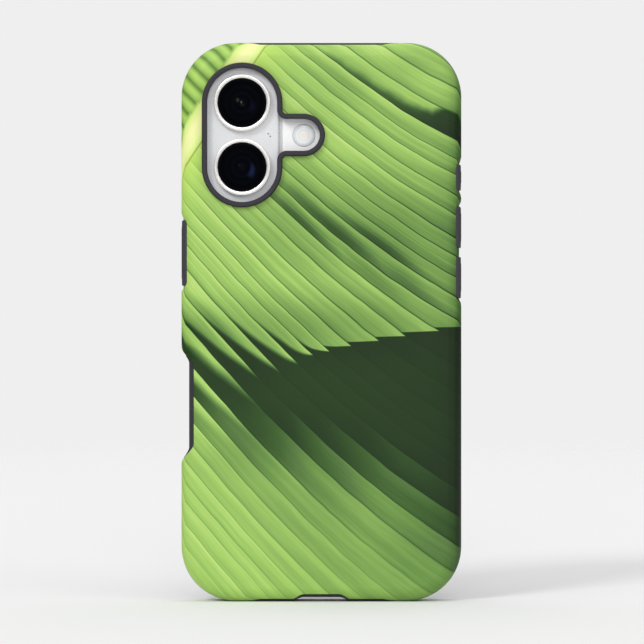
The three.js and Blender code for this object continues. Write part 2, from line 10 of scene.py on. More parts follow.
import bmesh
import bpy
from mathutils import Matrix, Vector


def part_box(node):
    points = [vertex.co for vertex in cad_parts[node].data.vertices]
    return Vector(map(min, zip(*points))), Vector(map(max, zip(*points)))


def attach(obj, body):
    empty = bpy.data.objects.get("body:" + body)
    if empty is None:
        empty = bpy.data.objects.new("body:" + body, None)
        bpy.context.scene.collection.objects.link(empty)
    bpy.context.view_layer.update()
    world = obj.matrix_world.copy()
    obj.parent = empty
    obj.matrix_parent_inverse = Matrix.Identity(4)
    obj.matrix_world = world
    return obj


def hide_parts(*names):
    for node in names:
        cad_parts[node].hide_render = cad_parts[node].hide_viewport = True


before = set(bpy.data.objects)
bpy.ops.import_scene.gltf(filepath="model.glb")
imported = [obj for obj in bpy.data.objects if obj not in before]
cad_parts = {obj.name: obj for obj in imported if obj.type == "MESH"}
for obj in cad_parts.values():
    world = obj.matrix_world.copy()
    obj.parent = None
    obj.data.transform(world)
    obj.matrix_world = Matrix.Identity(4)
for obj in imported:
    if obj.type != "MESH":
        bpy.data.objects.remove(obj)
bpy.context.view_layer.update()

# %% [markdown]
# ## One scale and a few lengths from the CAD
# Blender works in metres, but a case maker thinks in millimetres, so every length here is in
# millimetres and turns to metres in one place. The lengths come from the boxes of the CAD
# nodes, so that the pieces built here fall exactly on the ones they stand for.

# %% Lengths
MM = 0.001


def span(node):
    """The lowest and highest corner of a CAD node, in millimetres."""
    low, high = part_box(node)
    return [c / MM for c in low], [c / MM for c in high]


def centre_z(node):
    """The height of a CAD node's middle, in millimetres."""
    low, high = span(node)
    return (low[2] + high[2]) / 2


shell_low, shell_high = span("outer_shell")
liner_low, liner_high = span("inner_liner")
phone_low, phone_high = span("phone_frame")
CASE_HALF = shell_high[0]
MIDDLE = (shell_low[2] + shell_high[2]) / 2
PHONE_HALF = (phone_high[0] - phone_low[0]) / 2
PHONE_TALL = (phone_high[2] - phone_low[2]) / 2
PHONE_CORNER = 12.35             # the radius of the phone's corners, seen from the back
PHONE_DEPTH = 7.8
BACK = shell_low[1]              # the printed back
COLLAR_TOP = liner_low[1]        # the rim round the cameras, which stands proud of it
LIP = liner_high[1]              # the front lip
SHELL_FRONT = shell_high[1]
SCREEN = span("display_glass")[1][1]
PHONE_BACK = SCREEN - PHONE_DEPTH
CASE_OUT = CASE_HALF - PHONE_HALF
FIT = 0.1                        # the gap between two pieces that sit in each other
LINER_OUT = 1.25                 # how far the liner reaches out from the phone's side
SHELL_IN = LINER_OUT + FIT
BACK_WALL = 1.3                  # the shell's back wall and the gap under it
LINER_BACK = BACK + BACK_WALL
LINER_FLOOR = PHONE_BACK - FIT
print("case", 2 * CASE_HALF, "x", 2 * MIDDLE, "mm, back at", BACK, "and lip at", LIP)

# %% [markdown]
# ## Rings and lofts
# Nearly everything on a phone case is one outline, the phone's own, pushed in or out by some
# amount at some depth. So the main tool is a loft: a stack of rings with the same number of
# points, joined by quads and closed by a face at each end. It gives clean strips of faces
# along every fillet. A primitive with a bevel modifier could do the box, but not the way the
# fillet shrinks where the side dips in beside a button.

# %% Outlines
def arc(middle, radius, start, end, steps):
    """Points on an arc, angles in degrees, both ends included."""
    found = []
    for i in range(steps + 1):
        a = math.radians(start + (end - start) * i / steps)
        found.append((middle[0] + radius * math.cos(a), middle[1] + radius * math.sin(a)))
    return found


def divided(points, start, end, steps):
    """Points between two ends of a straight edge, the ends left out."""
    for i in range(1, steps):
        share = i / steps
        points.append(tuple(a + (b - a) * share for a, b in zip(start, end)))


def rounded(half_wide, half_tall, radius, middle=(0, 0), corner=8, tall=1, wide=1):
    """A rounded rectangle, anticlockwise from its lower right corner."""
    radius = max(0.02, min(radius, half_wide - 0.01, half_tall - 0.01))
    corners = []
    for turn, (sx, sy) in enumerate([(1, -1), (1, 1), (-1, 1), (-1, -1)]):
        place = (middle[0] + sx * (half_wide - radius), middle[1] + sy * (half_tall - radius))
        corners.append(arc(place, radius, 90 * turn - 90, 90 * turn, corner))
    found = []
    for turn, points in enumerate(corners):
        found += points
        divided(found, points[-1], corners[(turn + 1) % 4][0], wide if turn % 2 else tall)
    return found


CAMERA_X, FLASH_X = -21.6, -4.8
LOWER_Z, UPPER_Z = centre_z("lower_lens_ring"), centre_z("upper_lens_ring")
FLASH_Z = centre_z("flash_lens")
COLLAR_PILL, COLLAR_EAR, COLLAR_NOTCH = 10.9, 5.7, 1.2


def collar_outline(grow):
    """The opening round the cameras: a tall pill with an ear over the flash."""
    pill, ear, notch = COLLAR_PILL + grow, COLLAR_EAR + grow, COLLAR_NOTCH - grow
    corner_x = CAMERA_X + pill + notch
    return (
        arc((CAMERA_X, LOWER_Z), pill, 180, 360, 36)
        + arc((corner_x, FLASH_Z - ear - notch), notch, 180, 90, 8)
        + arc((FLASH_X, FLASH_Z), ear, -90, 90, 24)
        + arc((corner_x, FLASH_Z + ear + notch), notch, 270, 180, 8)
        + arc((CAMERA_X, UPPER_Z), pill, 0, 180, 36)
    )


def pill_outline(radius):
    """The raised camera plateau."""
    return (
        arc((CAMERA_X, LOWER_Z), radius, 180, 360, 40)
        + arc((CAMERA_X, UPPER_Z), radius, 0, 180, 40)
    )


print("cameras at", round(LOWER_Z, 2), "and", round(UPPER_Z, 2), "mm, flash at", round(FLASH_Z, 2))

# %% Lofts
def loft(name, rings, closed=False):
    """A closed mesh through rings of points in millimetres, with a face over each end."""
    build = bmesh.new()
    rows = [[build.verts.new(Vector(point) * MM) for point in ring] for ring in rings]
    count = len(rows[0])
    pairs = list(zip(rows, rows[1:])) + ([(rows[-1], rows[0])] if closed else [])
    for low, high in pairs:
        for i in range(count):
            j = (i + 1) % count
            build.faces.new((low[i], low[j], high[j], high[i]))
    if not closed:
        build.faces.new(rows[0])
        build.faces.new(rows[-1])
    bmesh.ops.recalc_face_normals(build, faces=build.faces)
    mesh = bpy.data.meshes.new(name)
    build.to_mesh(mesh)
    build.free()
    piece = bpy.data.objects.new(name, mesh)
    bpy.context.scene.collection.objects.link(piece)
    return piece


def at_depth(outline, y):
    """An outline drawn in x and z, set at a depth."""
    return [(x, y, z) for x, z in outline]


def plate(name, outline_of, profile):
    """A loft whose profile is a list of (how far the outline grows, depth).

    An arc serves as a fillet in such a profile, with its middle given in the same two numbers.
    """
    return loft(name, [at_depth(outline_of(grow), y) for grow, y in profile])


def prism(name, outline, axis, low, high):
    """An outline run straight along x, y or z. It is drawn in the other two, in that order."""
    order = {"x": (2, 0, 1), "y": (0, 2, 1), "z": (0, 1, 2)}[axis]
    rings = [[[a, b, level] for a, b in outline] for level in (low, high)]
    return loft(name, [[tuple(point[k] for k in order) for point in ring] for ring in rings])


# %% [markdown]
# ## Cutting and joining
# Windows for the buttons, the camera and the charging plug are cut with booleans, as a mould
# maker's cores would. The cutters are deleted after use. Afterwards the smooth shading has to
# stay true on the large flat back right up to its fillet: edges sharper than a limit are
# marked, and a weighted normal modifier lets the big faces decide the shading of the small.

# %% Booleans and shading
def combined(piece, cutters, operation="DIFFERENCE"):
    """Applies other pieces to a piece by boolean, one after another, and deletes them."""
    for cutter in cutters:
        step = piece.modifiers.new("cut", "BOOLEAN")
        step.operation = operation
        step.solver = "MANIFOLD"
        step.object = cutter
    graph = bpy.context.evaluated_depsgraph_get()
    mesh = bpy.data.meshes.new_from_object(piece.evaluated_get(graph))
    piece.modifiers.clear()
    piece.data = mesh
    for cutter in cutters:
        bpy.data.objects.remove(cutter)
    return piece


def eased(piece, limit=32, edge=0.0):
    """Smooth shading with sharp edges kept, and a small bevel along them if edge is given."""
    mesh = piece.data
    mesh.shade_smooth()
    mesh.set_sharp_from_angle(angle=math.radians(limit))
    if edge:
        bevel = piece.modifiers.new("edge", "BEVEL")
        bevel.width = edge * MM
        bevel.segments = 2
        bevel.limit_method = "ANGLE"
        bevel.angle_limit = math.radians(limit + 8)
        bevel.use_clamp_overlap = True
    weigh = piece.modifiers.new("shading", "WEIGHTED_NORMAL")
    weigh.keep_sharp = True
    print(piece.name, len(mesh.vertices), "points,", len(mesh.polygons), "faces")
    return piece


# %% [markdown]
# ## Where the sides dip
# Beside each button the hard shell is drawn in by 0.6 mm, so that a thumb finds the rubber
# pad. The dip eases in and out, and the fillet of the back shrinks with it. Low on the left
# there is a deep bite instead, which bares the camera key, and the charging plug has a
# shallower one in the foot.

# %% Dips and bites
def ease(share):
    """0 to 1 with level ends."""
    share = max(0.0, min(1.0, share))
    return share * share * (3 - 2 * share)


PADS = {name: span(name) for name in (
    "side_button_pad", "action_button_pad", "volume_up_pad", "volume_down_pad")}
PAD_REACH = 0.8                  # how far a pad's hidden flange reaches past the pad
DIP_DEPTH, DIP_RAMP, DIP_MARGIN = 0.6, 1.3, 0.3


def pad_heights(name):
    """Where the visible part of a pad starts and ends."""
    low, high = PADS[name]
    return low[2] + PAD_REACH, high[2] - PAD_REACH


DIPS = [
    (-1, pad_heights("side_button_pad")),
    (1, pad_heights("action_button_pad")),
    (1, (pad_heights("volume_down_pad")[0], pad_heights("volume_up_pad")[1])),
]


def dip(side, z):
    """How far the side is drawn in at a height."""
    for dip_side, (low, high) in DIPS:
        if dip_side == side:
            outside = max(low - DIP_MARGIN - z, z - high - DIP_MARGIN, 0)
            if outside < DIP_RAMP:
                return DIP_DEPTH * ease(1 - outside / DIP_RAMP)
    return 0.0


def case_ring(grow, y, dipped=0.0):
    """The phone's outline pushed out by grow, drawn in at the dips by a share of their depth."""
    outline = rounded(
        PHONE_HALF + grow, PHONE_TALL + grow, PHONE_CORNER + grow, (0, MIDDLE), 16, 120, 24
    )
    return [(x - math.copysign(dipped * dip(math.copysign(1, x), z), x), y, z) for x, z in outline]


def bite(name, place, half, ramp, depth, steps=14):
    """A cutter that bites into an edge. place turns (along, inward) into x and z."""
    outline = [place(half + ramp, -1), place(-half - ramp, -1)]
    for i in range(steps + 1):
        outline.append(place(-half - ramp * (1 - i / steps), depth * ease(i / steps)))
    for i in range(steps + 1):
        outline.append(place(half + ramp * i / steps, depth * ease(1 - i / steps)))
    return prism(name, outline, "y", COLLAR_TOP - 1, LIP + 1)


CAMERA_KEY_Z = centre_z("camera_control_key")


def on_left(along, inward):
    """A place on the left side, beside the camera key."""
    return -CASE_HALF + inward, CAMERA_KEY_Z + along


def on_foot(along, inward):
    """A place on the foot, beside the charging plug."""
    return -along, inward


# A bite is the half length of its floor, the length of each ramp, and its depth.
SHELL_KEY_BITE, SHELL_PLUG_BITE = (10.4, 5.6, 3.5), (4.7, 4.6, 2.05)
LINER_KEY_BITE, LINER_PLUG_BITE = (11.4, 4.4, 2.15), (4.9, 3.4, 1.15)
print("dips at", [(side, [round(h, 2) for h in heights]) for side, heights in DIPS])

# %% [markdown]
# ## The hard shell
# On the real case this is a thin tray of injection-moulded polycarbonate with a 4 mm fillet
# all round its back. It is a loft of the case outline: round the fillet, up the side, over
# the front edge and back down the inside, so the tray has its true wall from the start. A
# solidify modifier would thicken a skin too, but it makes the same corner inside and out.

# %% Shell
SHELL_FILLET, FILLET_STEPS = 4.0, 14
INNER_FILLET = 2.8
FRONT_EDGE = 0.2
WINDOW_HALF, WINDOW_SHOULDER, WINDOW_BACK = 22.3, 16.8, -3


def window_prism(name, shrink, bottom):
    """The trapezoid window in the top or bottom wall, where the liner shows."""
    half, shoulder = WINDOW_HALF - shrink, WINDOW_SHOULDER - shrink
    flare, back = BACK + SHELL_FILLET + shrink, WINDOW_BACK + shrink
    outline = [
        (-half, LIP + 1),
        (-half, flare),
        (-shoulder, back),
        (shoulder, back),
        (half, flare),
        (half, LIP + 1),
    ]
    low, high = (-1, CASE_OUT + 1) if bottom else (2 * MIDDLE - CASE_OUT - 1, 2 * MIDDLE + 1)
    return prism(name, outline, "z", low, high)


PAD_BACK, PAD_FRONT, PAD_CORNER = -3.5, 3.0, 1.2


def pad_outline(name, grow, steps=8):
    """The outline of a pad's visible face, in y and z."""
    low, high = pad_heights(name)
    return rounded(
        (PAD_FRONT - PAD_BACK) / 2 + grow,
        (high - low) / 2 + grow,
        PAD_CORNER + grow,
        ((PAD_BACK + PAD_FRONT) / 2, (low + high) / 2),
        steps,
    )


def side_of(name):
    """1 for a pad on the right, -1 for one on the left."""
    return 1 if PADS[name][0][0] > 0 else -1


def side_prism(name, outline, side, near, far):
    """A prism through the side wall, drawn in y and z."""
    return prism(name, outline, "x", *sorted((side * near, side * far)))


back_fillet = arc(
    (CASE_OUT - SHELL_FILLET, BACK + SHELL_FILLET), SHELL_FILLET, -90, 0, FILLET_STEPS
)
# The dip reaches its whole depth where the fillet meets the side.
dip_shares = [math.sin(math.radians(90 * i / FILLET_STEPS)) for i in range(FILLET_STEPS + 1)]
rim = [
    (CASE_OUT, SHELL_FRONT - FRONT_EDGE),
    (CASE_OUT - 0.06, SHELL_FRONT - 0.06),
    (CASE_OUT - FRONT_EDGE, SHELL_FRONT),
]
inside = arc(
    (SHELL_IN - INNER_FILLET, LINER_BACK - FIT + INNER_FILLET), INNER_FILLET, 0, -90, 6
)
shell_rings = [case_ring(g, y, share) for (g, y), share in zip(back_fillet, dip_shares)]
shell_rings += [case_ring(g, y, 1) for g, y in rim]
shell_rings += [case_ring(SHELL_IN, SHELL_FRONT)]
shell_rings += [case_ring(g, y) for g, y in inside]
shell = loft("shell", shell_rings)
combined(shell, [
    plate("cutter", collar_outline, [(FIT, COLLAR_TOP), (FIT, PHONE_BACK)]),
    *[side_prism("cutter", pad_outline(name, FIT), side_of(name), PHONE_HALF - 3, CASE_HALF + 1)
      for name in PADS],
    window_prism("cutter", 0, True),
    window_prism("cutter", 0, False),
    bite("cutter", on_left, *SHELL_KEY_BITE),
    bite("cutter", on_foot, *SHELL_PLUG_BITE),
])
eased(shell, edge=0.12)

# %% [markdown]
# ## The rubber liner
# The soft liner is moulded in one piece. It wraps the phone, laps over the screen as a lip,
# stands up through the shell as a collar round the cameras, and fills the windows in the top
# and bottom walls. Each of those is lofted as a solid and joined, then the phone's space and
# the openings are cut out, in the order in which a mould would form them.

# %% Liner
LINER_FILLET = 2.7
FLANGE = SHELL_FRONT + FIT
FLANGE_OUT = CASE_OUT - 0.25
LIP_RADIUS = 0.7
FLANGE_DIP = 0.6                 # the share of the shell's dip that the flange follows

tray = arc((LINER_OUT - LINER_FILLET, LINER_BACK + LINER_FILLET), LINER_FILLET, -90, 0, 8)
flange = [(FLANGE_OUT - 0.1, FLANGE), (FLANGE_OUT, FLANGE + 0.1)]
flange += arc((FLANGE_OUT - LIP_RADIUS, LIP - LIP_RADIUS), LIP_RADIUS, 0, 90, 6)
liner_rings = [case_ring(g, y) for g, y in tray + [(LINER_OUT, FLANGE)]]
liner_rings += [case_ring(g, y, FLANGE_DIP) for g, y in flange]
liner = loft("liner", liner_rings)

form = list(back_fillet)
form += arc((CASE_OUT - LIP_RADIUS, LIP - LIP_RADIUS), LIP_RADIUS, 0, 90, 5)
fillings = []
for bottom in (True, False):
    body = loft("body", [case_ring(g, y) for g, y in form])
    fillings.append(combined(body, [window_prism("cutter", FIT, bottom)], "INTERSECT"))

COLLAR_EDGE, COLLAR_WIDE = 0.45, 1.35
collar = [(0, LINER_FLOOR - 0.1), (0, COLLAR_TOP + COLLAR_EDGE)]
collar += arc((-COLLAR_EDGE, COLLAR_TOP + COLLAR_EDGE), COLLAR_EDGE, 0, -90, 5)[1:]
combined(liner, [plate("cutter", collar_outline, collar), *fillings], "UNION")

# %% [markdown]
# The phone's space and the mouth over the screen come out of the liner first, then the camera
# opening in three steps, a pocket with a key hole for every pad, and the holes in the foot. A
# cutter that widens in a quarter round at its end leaves a soft edge, as a mould does. That
# holds the edge's size better than a bevel, which would also catch the seams beside it.

# %% Openings in the liner
KEY_Y = (PHONE_BACK + SCREEN) / 2
KEYS = {"side_button": 16.2, "action_button": 5.6, "volume_up": 9.8, "volume_down": 9.8}
PAD_FLOOR = PHONE_HALF + 0.65
FLANGE_THICK = 0.5
FLANGE_AT = PHONE_HALF + LINER_OUT - FLANGE_THICK
TRAVEL = 0.35                    # room behind a pad, a little more than it is pressed
LIP_REACH = 0.7                  # how far the lip laps over the screen
# The steps in the collar's opening: how far out each is, and how far up from the phone's back.
COLLAR_STEPS = [(-0.65, 1.65), (0.25, 0.55)]
# Holes are half width, half height and corner radius.
CAMERA_KEY_HOLE = (2.8, 10.7, 2)
PLUG_HOLE, SOUND_SLOT, SOUND_SLOT_X = (6.3, 3.3, 2.6), (4.9, 0.9, 0.89), 14.5


def flange_outline(name, grow, steps=8):
    """The hidden flange that keeps a pad behind the shell."""
    low, high = pad_heights(name)
    back, front = BACK + SHELL_FILLET + 0.1 - grow, PAD_FRONT + PAD_REACH + grow
    return rounded(
        (front - back) / 2,
        (high - low) / 2 + PAD_REACH + grow,
        1 + grow,
        ((back + front) / 2, (low + high) / 2),
        steps,
    )


def pad_pockets(name):
    """The cutters for a pad: its plug, its flange and the hole for the key behind it."""
    low, high = pad_heights(name)
    side = side_of(name)
    key = KEYS[name.replace("_pad", "")]
    hole = rounded(2, key / 2 + 0.5, 1.6, (KEY_Y, (low + high) / 2))
    far = CASE_HALF + 1
    return [
        side_prism("cutter", pad_outline(name, FIT), side, PAD_FLOOR - TRAVEL, far),
        side_prism("cutter", flange_outline(name, FIT), side, FLANGE_AT - TRAVEL, far),
        side_prism("cutter", hole, side, PHONE_HALF - 1, far),
    ]


def flared(grow, start, top, edge=0.4):
    """A cutter's profile from start to top that leaves a round where it comes out."""
    way = math.copysign(1, top - start)
    profile = [(grow, start), (grow, top - way * edge)]
    for i in range(1, 6):
        turn = math.radians(18 * i)
        out = grow + edge * (1 - math.cos(turn))
        profile.append((out, top - way * edge * (1 - math.sin(turn))))
    return profile + [(grow + edge + 0.02, top + way)]


hole = flared(-COLLAR_WIDE, PHONE_BACK, COLLAR_TOP)
mouth = flared(-LIP_REACH, SCREEN - 0.05, LIP)
combined(liner, [
    loft("cutter", [case_ring(FIT, LINER_FLOOR), case_ring(FIT, SCREEN + FIT)]),
    loft("cutter", [case_ring(g, y) for g, y in mouth]),
    *[plate("cutter", collar_outline, [(grow, PHONE_BACK - rise), (grow, PHONE_BACK)])
      for grow, rise in COLLAR_STEPS],
    plate("cutter", collar_outline, hole),
    *[cutter for name in PADS for cutter in pad_pockets(name)],
    bite("cutter", on_left, *LINER_KEY_BITE),
    side_prism(
        "cutter", rounded(*CAMERA_KEY_HOLE, (KEY_Y, CAMERA_KEY_Z)), -1, PHONE_HALF - 1, CASE_HALF + 1
    ),
    bite("cutter", on_foot, *LINER_PLUG_BITE),
    prism("cutter", rounded(*PLUG_HOLE, (0, KEY_Y)), "z", -1, CASE_OUT + 1),
    *[prism("cutter", rounded(*SOUND_SLOT, (side * SOUND_SLOT_X, KEY_Y)), "z", -1, CASE_OUT + 1)
      for side in (-1, 1)],
])
eased(liner, edge=0.1)

# %% [markdown]
# ## The pads over the buttons
# Each pad is a separate rubber plug, held behind the shell by a flange. Its outside follows
# the case's own surface, flat along the side and round the fillet, with a soft edge. One
# stack of rings makes the plug and its face: the rings of the face are drawn smaller and
# smaller and laid on the surface, which a bevelled box could not follow. The flange is a
# second piece that is joined on, so that it stays a flat plate behind the plug.

# %% Pads
def surface_x(y):
    """How far out the case's surface is at a depth."""
    behind = min(0.0, y - BACK - SHELL_FILLET)
    return CASE_HALF - SHELL_FILLET + math.sqrt(SHELL_FILLET**2 - behind**2)


# Each ring of the face: how far it is drawn in, and how far it lies below the case's surface.
PAD_FACE = [(0.0, 0.75), (0.0, 0.4), (0.05, 0.2), (0.16, 0.07), (0.35, 0.0),
            (0.9, 0.0), (1.6, 0.0), (2.3, 0.0), (2.8, 0.0), (3.1, 0.0)]
PAD_SIDE = PAD_FLOOR + 0.3       # the rings of the face stay outside this
PAD_SLACK = 0.01                 # each pad stays this far inside its CAD node's outline


def pad(name):
    """A pad: a plug whose face lies on the case's surface, joined to its flange."""
    side = side_of(name)
    rings = [[(side * PAD_FLOOR, y, z) for y, z in pad_outline(name, -PAD_SLACK)]]
    for inset, drop in PAD_FACE:
        ring = pad_outline(name, -inset - PAD_SLACK)
        rings.append([(side * max(surface_x(y) - drop, PAD_SIDE), y, z) for y, z in ring])
    made = loft(name.replace("_pad", "_rubber"), rings)
    flange = side_prism(
        "flange", flange_outline(name, 0), side, FLANGE_AT, FLANGE_AT + FLANGE_THICK
    )
    return eased(combined(made, [flange], "UNION"), 38)


pads = {name: pad(name) for name in PADS}

# %% [markdown]
# ## The phone's back and its cameras
# The back is one sheet of milled glass: the plateau round the cameras is part of it and
# sweeps up out of the flat, so it is joined to the sheet and not set on it. Two pinholes
# beside the lenses let the microphone hear. The lens rings are turned from metal, so a
# profile is spun round the lens axis, with a small round on every edge to catch the light.
# The cover glass of each lens is a flat disc. The camera under it is a CAD piece, and what
# the eye sees of its black depth is given by the glass's finish.

# %% Back glass
PLATEAU_TOP = span("back_glass")[0][1]
PLATEAU_EDGE = 0.7
BACK_EDGE = [(-0.9, 0.8), (-0.9, 0.15), (-0.95, 0.04), (-1.05, 0)]
back_sheet = loft("back_sheet", [case_ring(grow, PHONE_BACK + down) for grow, down in BACK_EDGE])
foot_top = PHONE_BACK - 0.4      # where the sweep out of the flat turns up to the plateau
plateau = [(11.0, PHONE_BACK + 0.4), (11.0, PHONE_BACK - 0.05), (10.9, PHONE_BACK - 0.22)]
plateau += [(10.7, foot_top + 0.03), (10.5, foot_top - 0.03)]
plateau += [(10.3, foot_top - 0.13), (10.16, foot_top - 0.28)]
plateau += arc((9.4, PLATEAU_TOP + PLATEAU_EDGE), PLATEAU_EDGE, 0, -90, 6)
combined(back_sheet, [plate("cutter", pill_outline, plateau)], "UNION")


def bore(x, z, radius, steps=64):
    """A round cutter through the back glass."""
    outline = arc((x, z), radius, 0, 360, steps)[:-1]
    return prism("cutter", outline, "y", PLATEAU_TOP - 1, PHONE_BACK + 2)


LENS_BORE, FLASH_BORE, PINHOLE = 5.9, 3.1, 0.2
PINHOLES = [(-14.5, 0.35), (-13.95, -0.35)]      # x, and height over the flash
combined(back_sheet, [
    *[bore(CAMERA_X, z, LENS_BORE) for z in (LOWER_Z, UPPER_Z)],
    bore(FLASH_X, FLASH_Z, FLASH_BORE),
    *[bore(x, FLASH_Z + up, PINHOLE, 16) for x, up in PINHOLES],
])
eased(back_sheet, 35)


# %% Turned pieces
def turned(name, x, z, profile, steps=96):
    """A profile of (radius, depth) spun round an axis along y. It ends on the axis or closes."""
    on_axis = profile[0][0] == 0
    rings = [
        at_depth(arc((x, z), max(radius, 0.01), 0, 360, steps)[:-1], y) for radius, y in profile
    ]
    return loft(name, rings, closed=not on_axis)


RING_TOP = span("upper_lens_ring")[0][1]
GLASS_TOP = RING_TOP + 0.25      # the cover glass sits a little below its ring
ring_profile = [(6.1, PLATEAU_TOP - 0.05), (6.1, PHONE_BACK - 2.2), (6.75, PHONE_BACK - 2.2)]
ring_profile += [(6.75, RING_TOP + 0.16), (6.79, RING_TOP + 0.05), (6.88, RING_TOP)]
ring_profile += [(7.42, RING_TOP), (7.6, RING_TOP + 0.04), (7.71, RING_TOP + 0.14)]
ring_profile += [(7.75, RING_TOP + 0.3), (7.75, PLATEAU_TOP - 0.05)]
cover_profile = [(0, GLASS_TOP + 0.8), (6.65, GLASS_TOP + 0.8), (6.65, GLASS_TOP + 0.12)]
cover_profile += [(6.6, GLASS_TOP + 0.04), (6.5, GLASS_TOP), (0, GLASS_TOP)]
lens_parts = {}
for which, z in (("upper", UPPER_Z), ("lower", LOWER_Z)):
    ring = eased(turned(which + "_ring", CAMERA_X, z, ring_profile), 35)
    cover = eased(turned(which + "_cover_glass", CAMERA_X, z, cover_profile), 35)
    lens_parts[which] = (ring, cover)

flash_top = PHONE_BACK - 0.1
flash_profile = [(0, PHONE_BACK + 0.8), (3.0, PHONE_BACK + 0.8), (3.0, PHONE_BACK + 0.02)]
flash_profile += [(2.85, PHONE_BACK - 0.04), (2.4, flash_top + 0.02)]
flash_profile += [(1.2, flash_top), (0, flash_top)]
flash = eased(turned("flash_cover", FLASH_X, FLASH_Z, flash_profile), 35)

# %% [markdown]
# ## The screen
# The display glass is one flat sheet with a finely ground edge, dropped into the frame. It
# is switched off, so all its looks come from the finish: black border, near-black panel.

# %% Display glass
SCREEN_EDGE = [(-0.6, 0.8), (-0.6, 0.2), (-0.66, 0.06), (-0.8, 0)]
screen_rings = [case_ring(grow, SCREEN - down) for grow, down in SCREEN_EDGE]
screen = eased(loft("screen_glass", screen_rings), 35)

# %% [markdown]
# ## Which piece stands for which CAD node
# Every piece rides on the CAD body it belongs to, and names the node it replaces and the
# material slot of the record that its finish belongs to.

# %% Riding
BODY = "cased_phone"
STANDS_FOR = [
    (shell, BODY, "outer_shell", "printed_shell"),
    (liner, BODY, "inner_liner", "liner_rubber"),
    (back_sheet, BODY, "back_glass", "back_glass_white"),
    (lens_parts["upper"][0], BODY, "upper_lens_ring", "bright_aluminium"),
    (lens_parts["lower"][0], BODY, "lower_lens_ring", "bright_aluminium"),
    (lens_parts["upper"][1], BODY, "upper_lens_glass", "lens_glass"),
    (lens_parts["lower"][1], BODY, "lower_lens_glass", "lens_glass"),
    (flash, BODY, "flash_lens", "flash_diffuser"),
    (screen, BODY, "display_glass", "display_glass_black"),
]
PAD_BODIES = {
    "side_button_pad": "side_button",
    "action_button_pad": "action_button",
    "volume_up_pad": "volume_up_button",
    "volume_down_pad": "volume_down_button",
}
STANDS_FOR += [(pads[name], body, name, "pad_rubber") for name, body in PAD_BODIES.items()]
for piece, body, node, slot in STANDS_FOR:
    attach(piece, body)
    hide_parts(node)
print(len(STANDS_FOR), "pieces stand for CAD nodes")

# %% [markdown]
# # Finishes
# Two small functions do the common work. One turns a colour as a printer or a web page names
# it, an sRGB hex value, into the linear numbers that light needs. The other adds a node of any
# kind to a material, with its settings and links. Dragging nodes by hand would do the same,
# but a line of code says what goes where and can be repeated.

# %% Colour and node helpers
def linear(hex_colour):
    """An sRGB hex colour as linear red, green, blue and 1."""
    parts = [int(hex_colour[i:i + 2], 16) / 255 for i in (1, 3, 5)]
    return [c / 12.92 if c <= 0.04045 else ((c + 0.055) / 1.055) ** 2.4 for c in parts] + [1.0]


def add(tree, kind, *values, named=None, out=0, points=(), smooth=False, stops=(), **settings):
    """Adds a shader node. Values go to its inputs in order, or by name or number in named.

    A curve also takes its points, and a colour ramp its stops, each a place and a hex colour.
    """
    node = tree.nodes.new("ShaderNode" + kind)
    for key, value in settings.items():
        setattr(node, key, value)
    for key, value in [*enumerate(values), *(named or {}).items()]:
        if isinstance(value, bpy.types.NodeSocket):
            tree.links.new(value, node.inputs[key])
        elif value is not None:
            node.inputs[key].default_value = value
    for i, (x, y) in enumerate(points):
        line = node.mapping.curves[0].points
        point = line[i] if i < 2 else line.new(x, y)
        point.location = (x, y)
    if points:
        for point in node.mapping.curves[0].points:
            point.handle_type = "AUTO_CLAMPED" if smooth else "VECTOR"
        node.mapping.update()
    while stops and len(node.color_ramp.elements) < len(stops):
        node.color_ramp.elements.new(0.5)
    for i, (place, colour) in enumerate(stops):
        node.color_ramp.elements[i].position = place
        node.color_ramp.elements[i].color = linear(colour)
    return node.outputs[out]


def new_finish(name, **sockets):
    """A material with one Principled shader, and its tree."""
    made = bpy.data.materials.new(name)
    made.use_nodes = True
    tree = made.node_tree
    shader = tree.nodes["Principled BSDF"]
    for key, value in sockets.items():
        shader.inputs[key.replace("_", " ")].default_value = value
    return made, tree, shader


def millimetres(tree):
    """Where a point is on the object, in millimetres."""
    place = add(tree, "TexCoord", out=3)
    return add(tree, "VectorMath", place, (1 / MM,) * 3, operation="MULTIPLY")


print("white is", linear("#ffffff"), "and mid grey", [round(c, 3) for c in linear("#808080")])

# %% [markdown]
# ## Grain
# Most of the finishes need the same three things at their own sizes: a fine grain that the
# surface feels of, a slow drift in colour, and a slow drift in gloss. The sizes are real
# ones in millimetres: noise at scale 1 / size has features of about that size.

# %% A grain shared by the plain finishes
def grained(tree, shader, light, dark, grain, height, gloss, drift=14.0, stretch=(1, 1, 1)):
    """grain and drift in mm, height the depth of the grain in mm, gloss a pair of roughnesses."""
    place = millimetres(tree)
    long = add(tree, "VectorMath", place, stretch, operation="MULTIPLY")
    fine = add(tree, "TexNoise", named={"Vector": long, "Scale": 1 / grain, "Detail": 3.0})
    slow = add(tree, "TexNoise", named={"Vector": place, "Scale": 1 / drift, "Detail": 2.0})
    both = add(tree, "Math", fine, slow, operation="ADD")
    share = add(tree, "MapRange", both, 0.7, 1.3, 0.0, 1.0)
    tones = {6: linear(dark), 7: linear(light)}
    colour = add(tree, "Mix", share, named=tones, out=2, data_type="RGBA")
    rough = add(tree, "MapRange", both, 0.7, 1.3, *gloss)
    bump = add(tree, "Bump", named={"Height": fine, "Strength": 1.0, "Distance": height * MM})
    tree.links.new(colour, shader.inputs["Base Color"])
    tree.links.new(rough, shader.inputs["Roughness"])
    tree.links.new(bump, shader.inputs["Normal"])
    print("grain of", grain, "mm in tones", dark, "to", light)


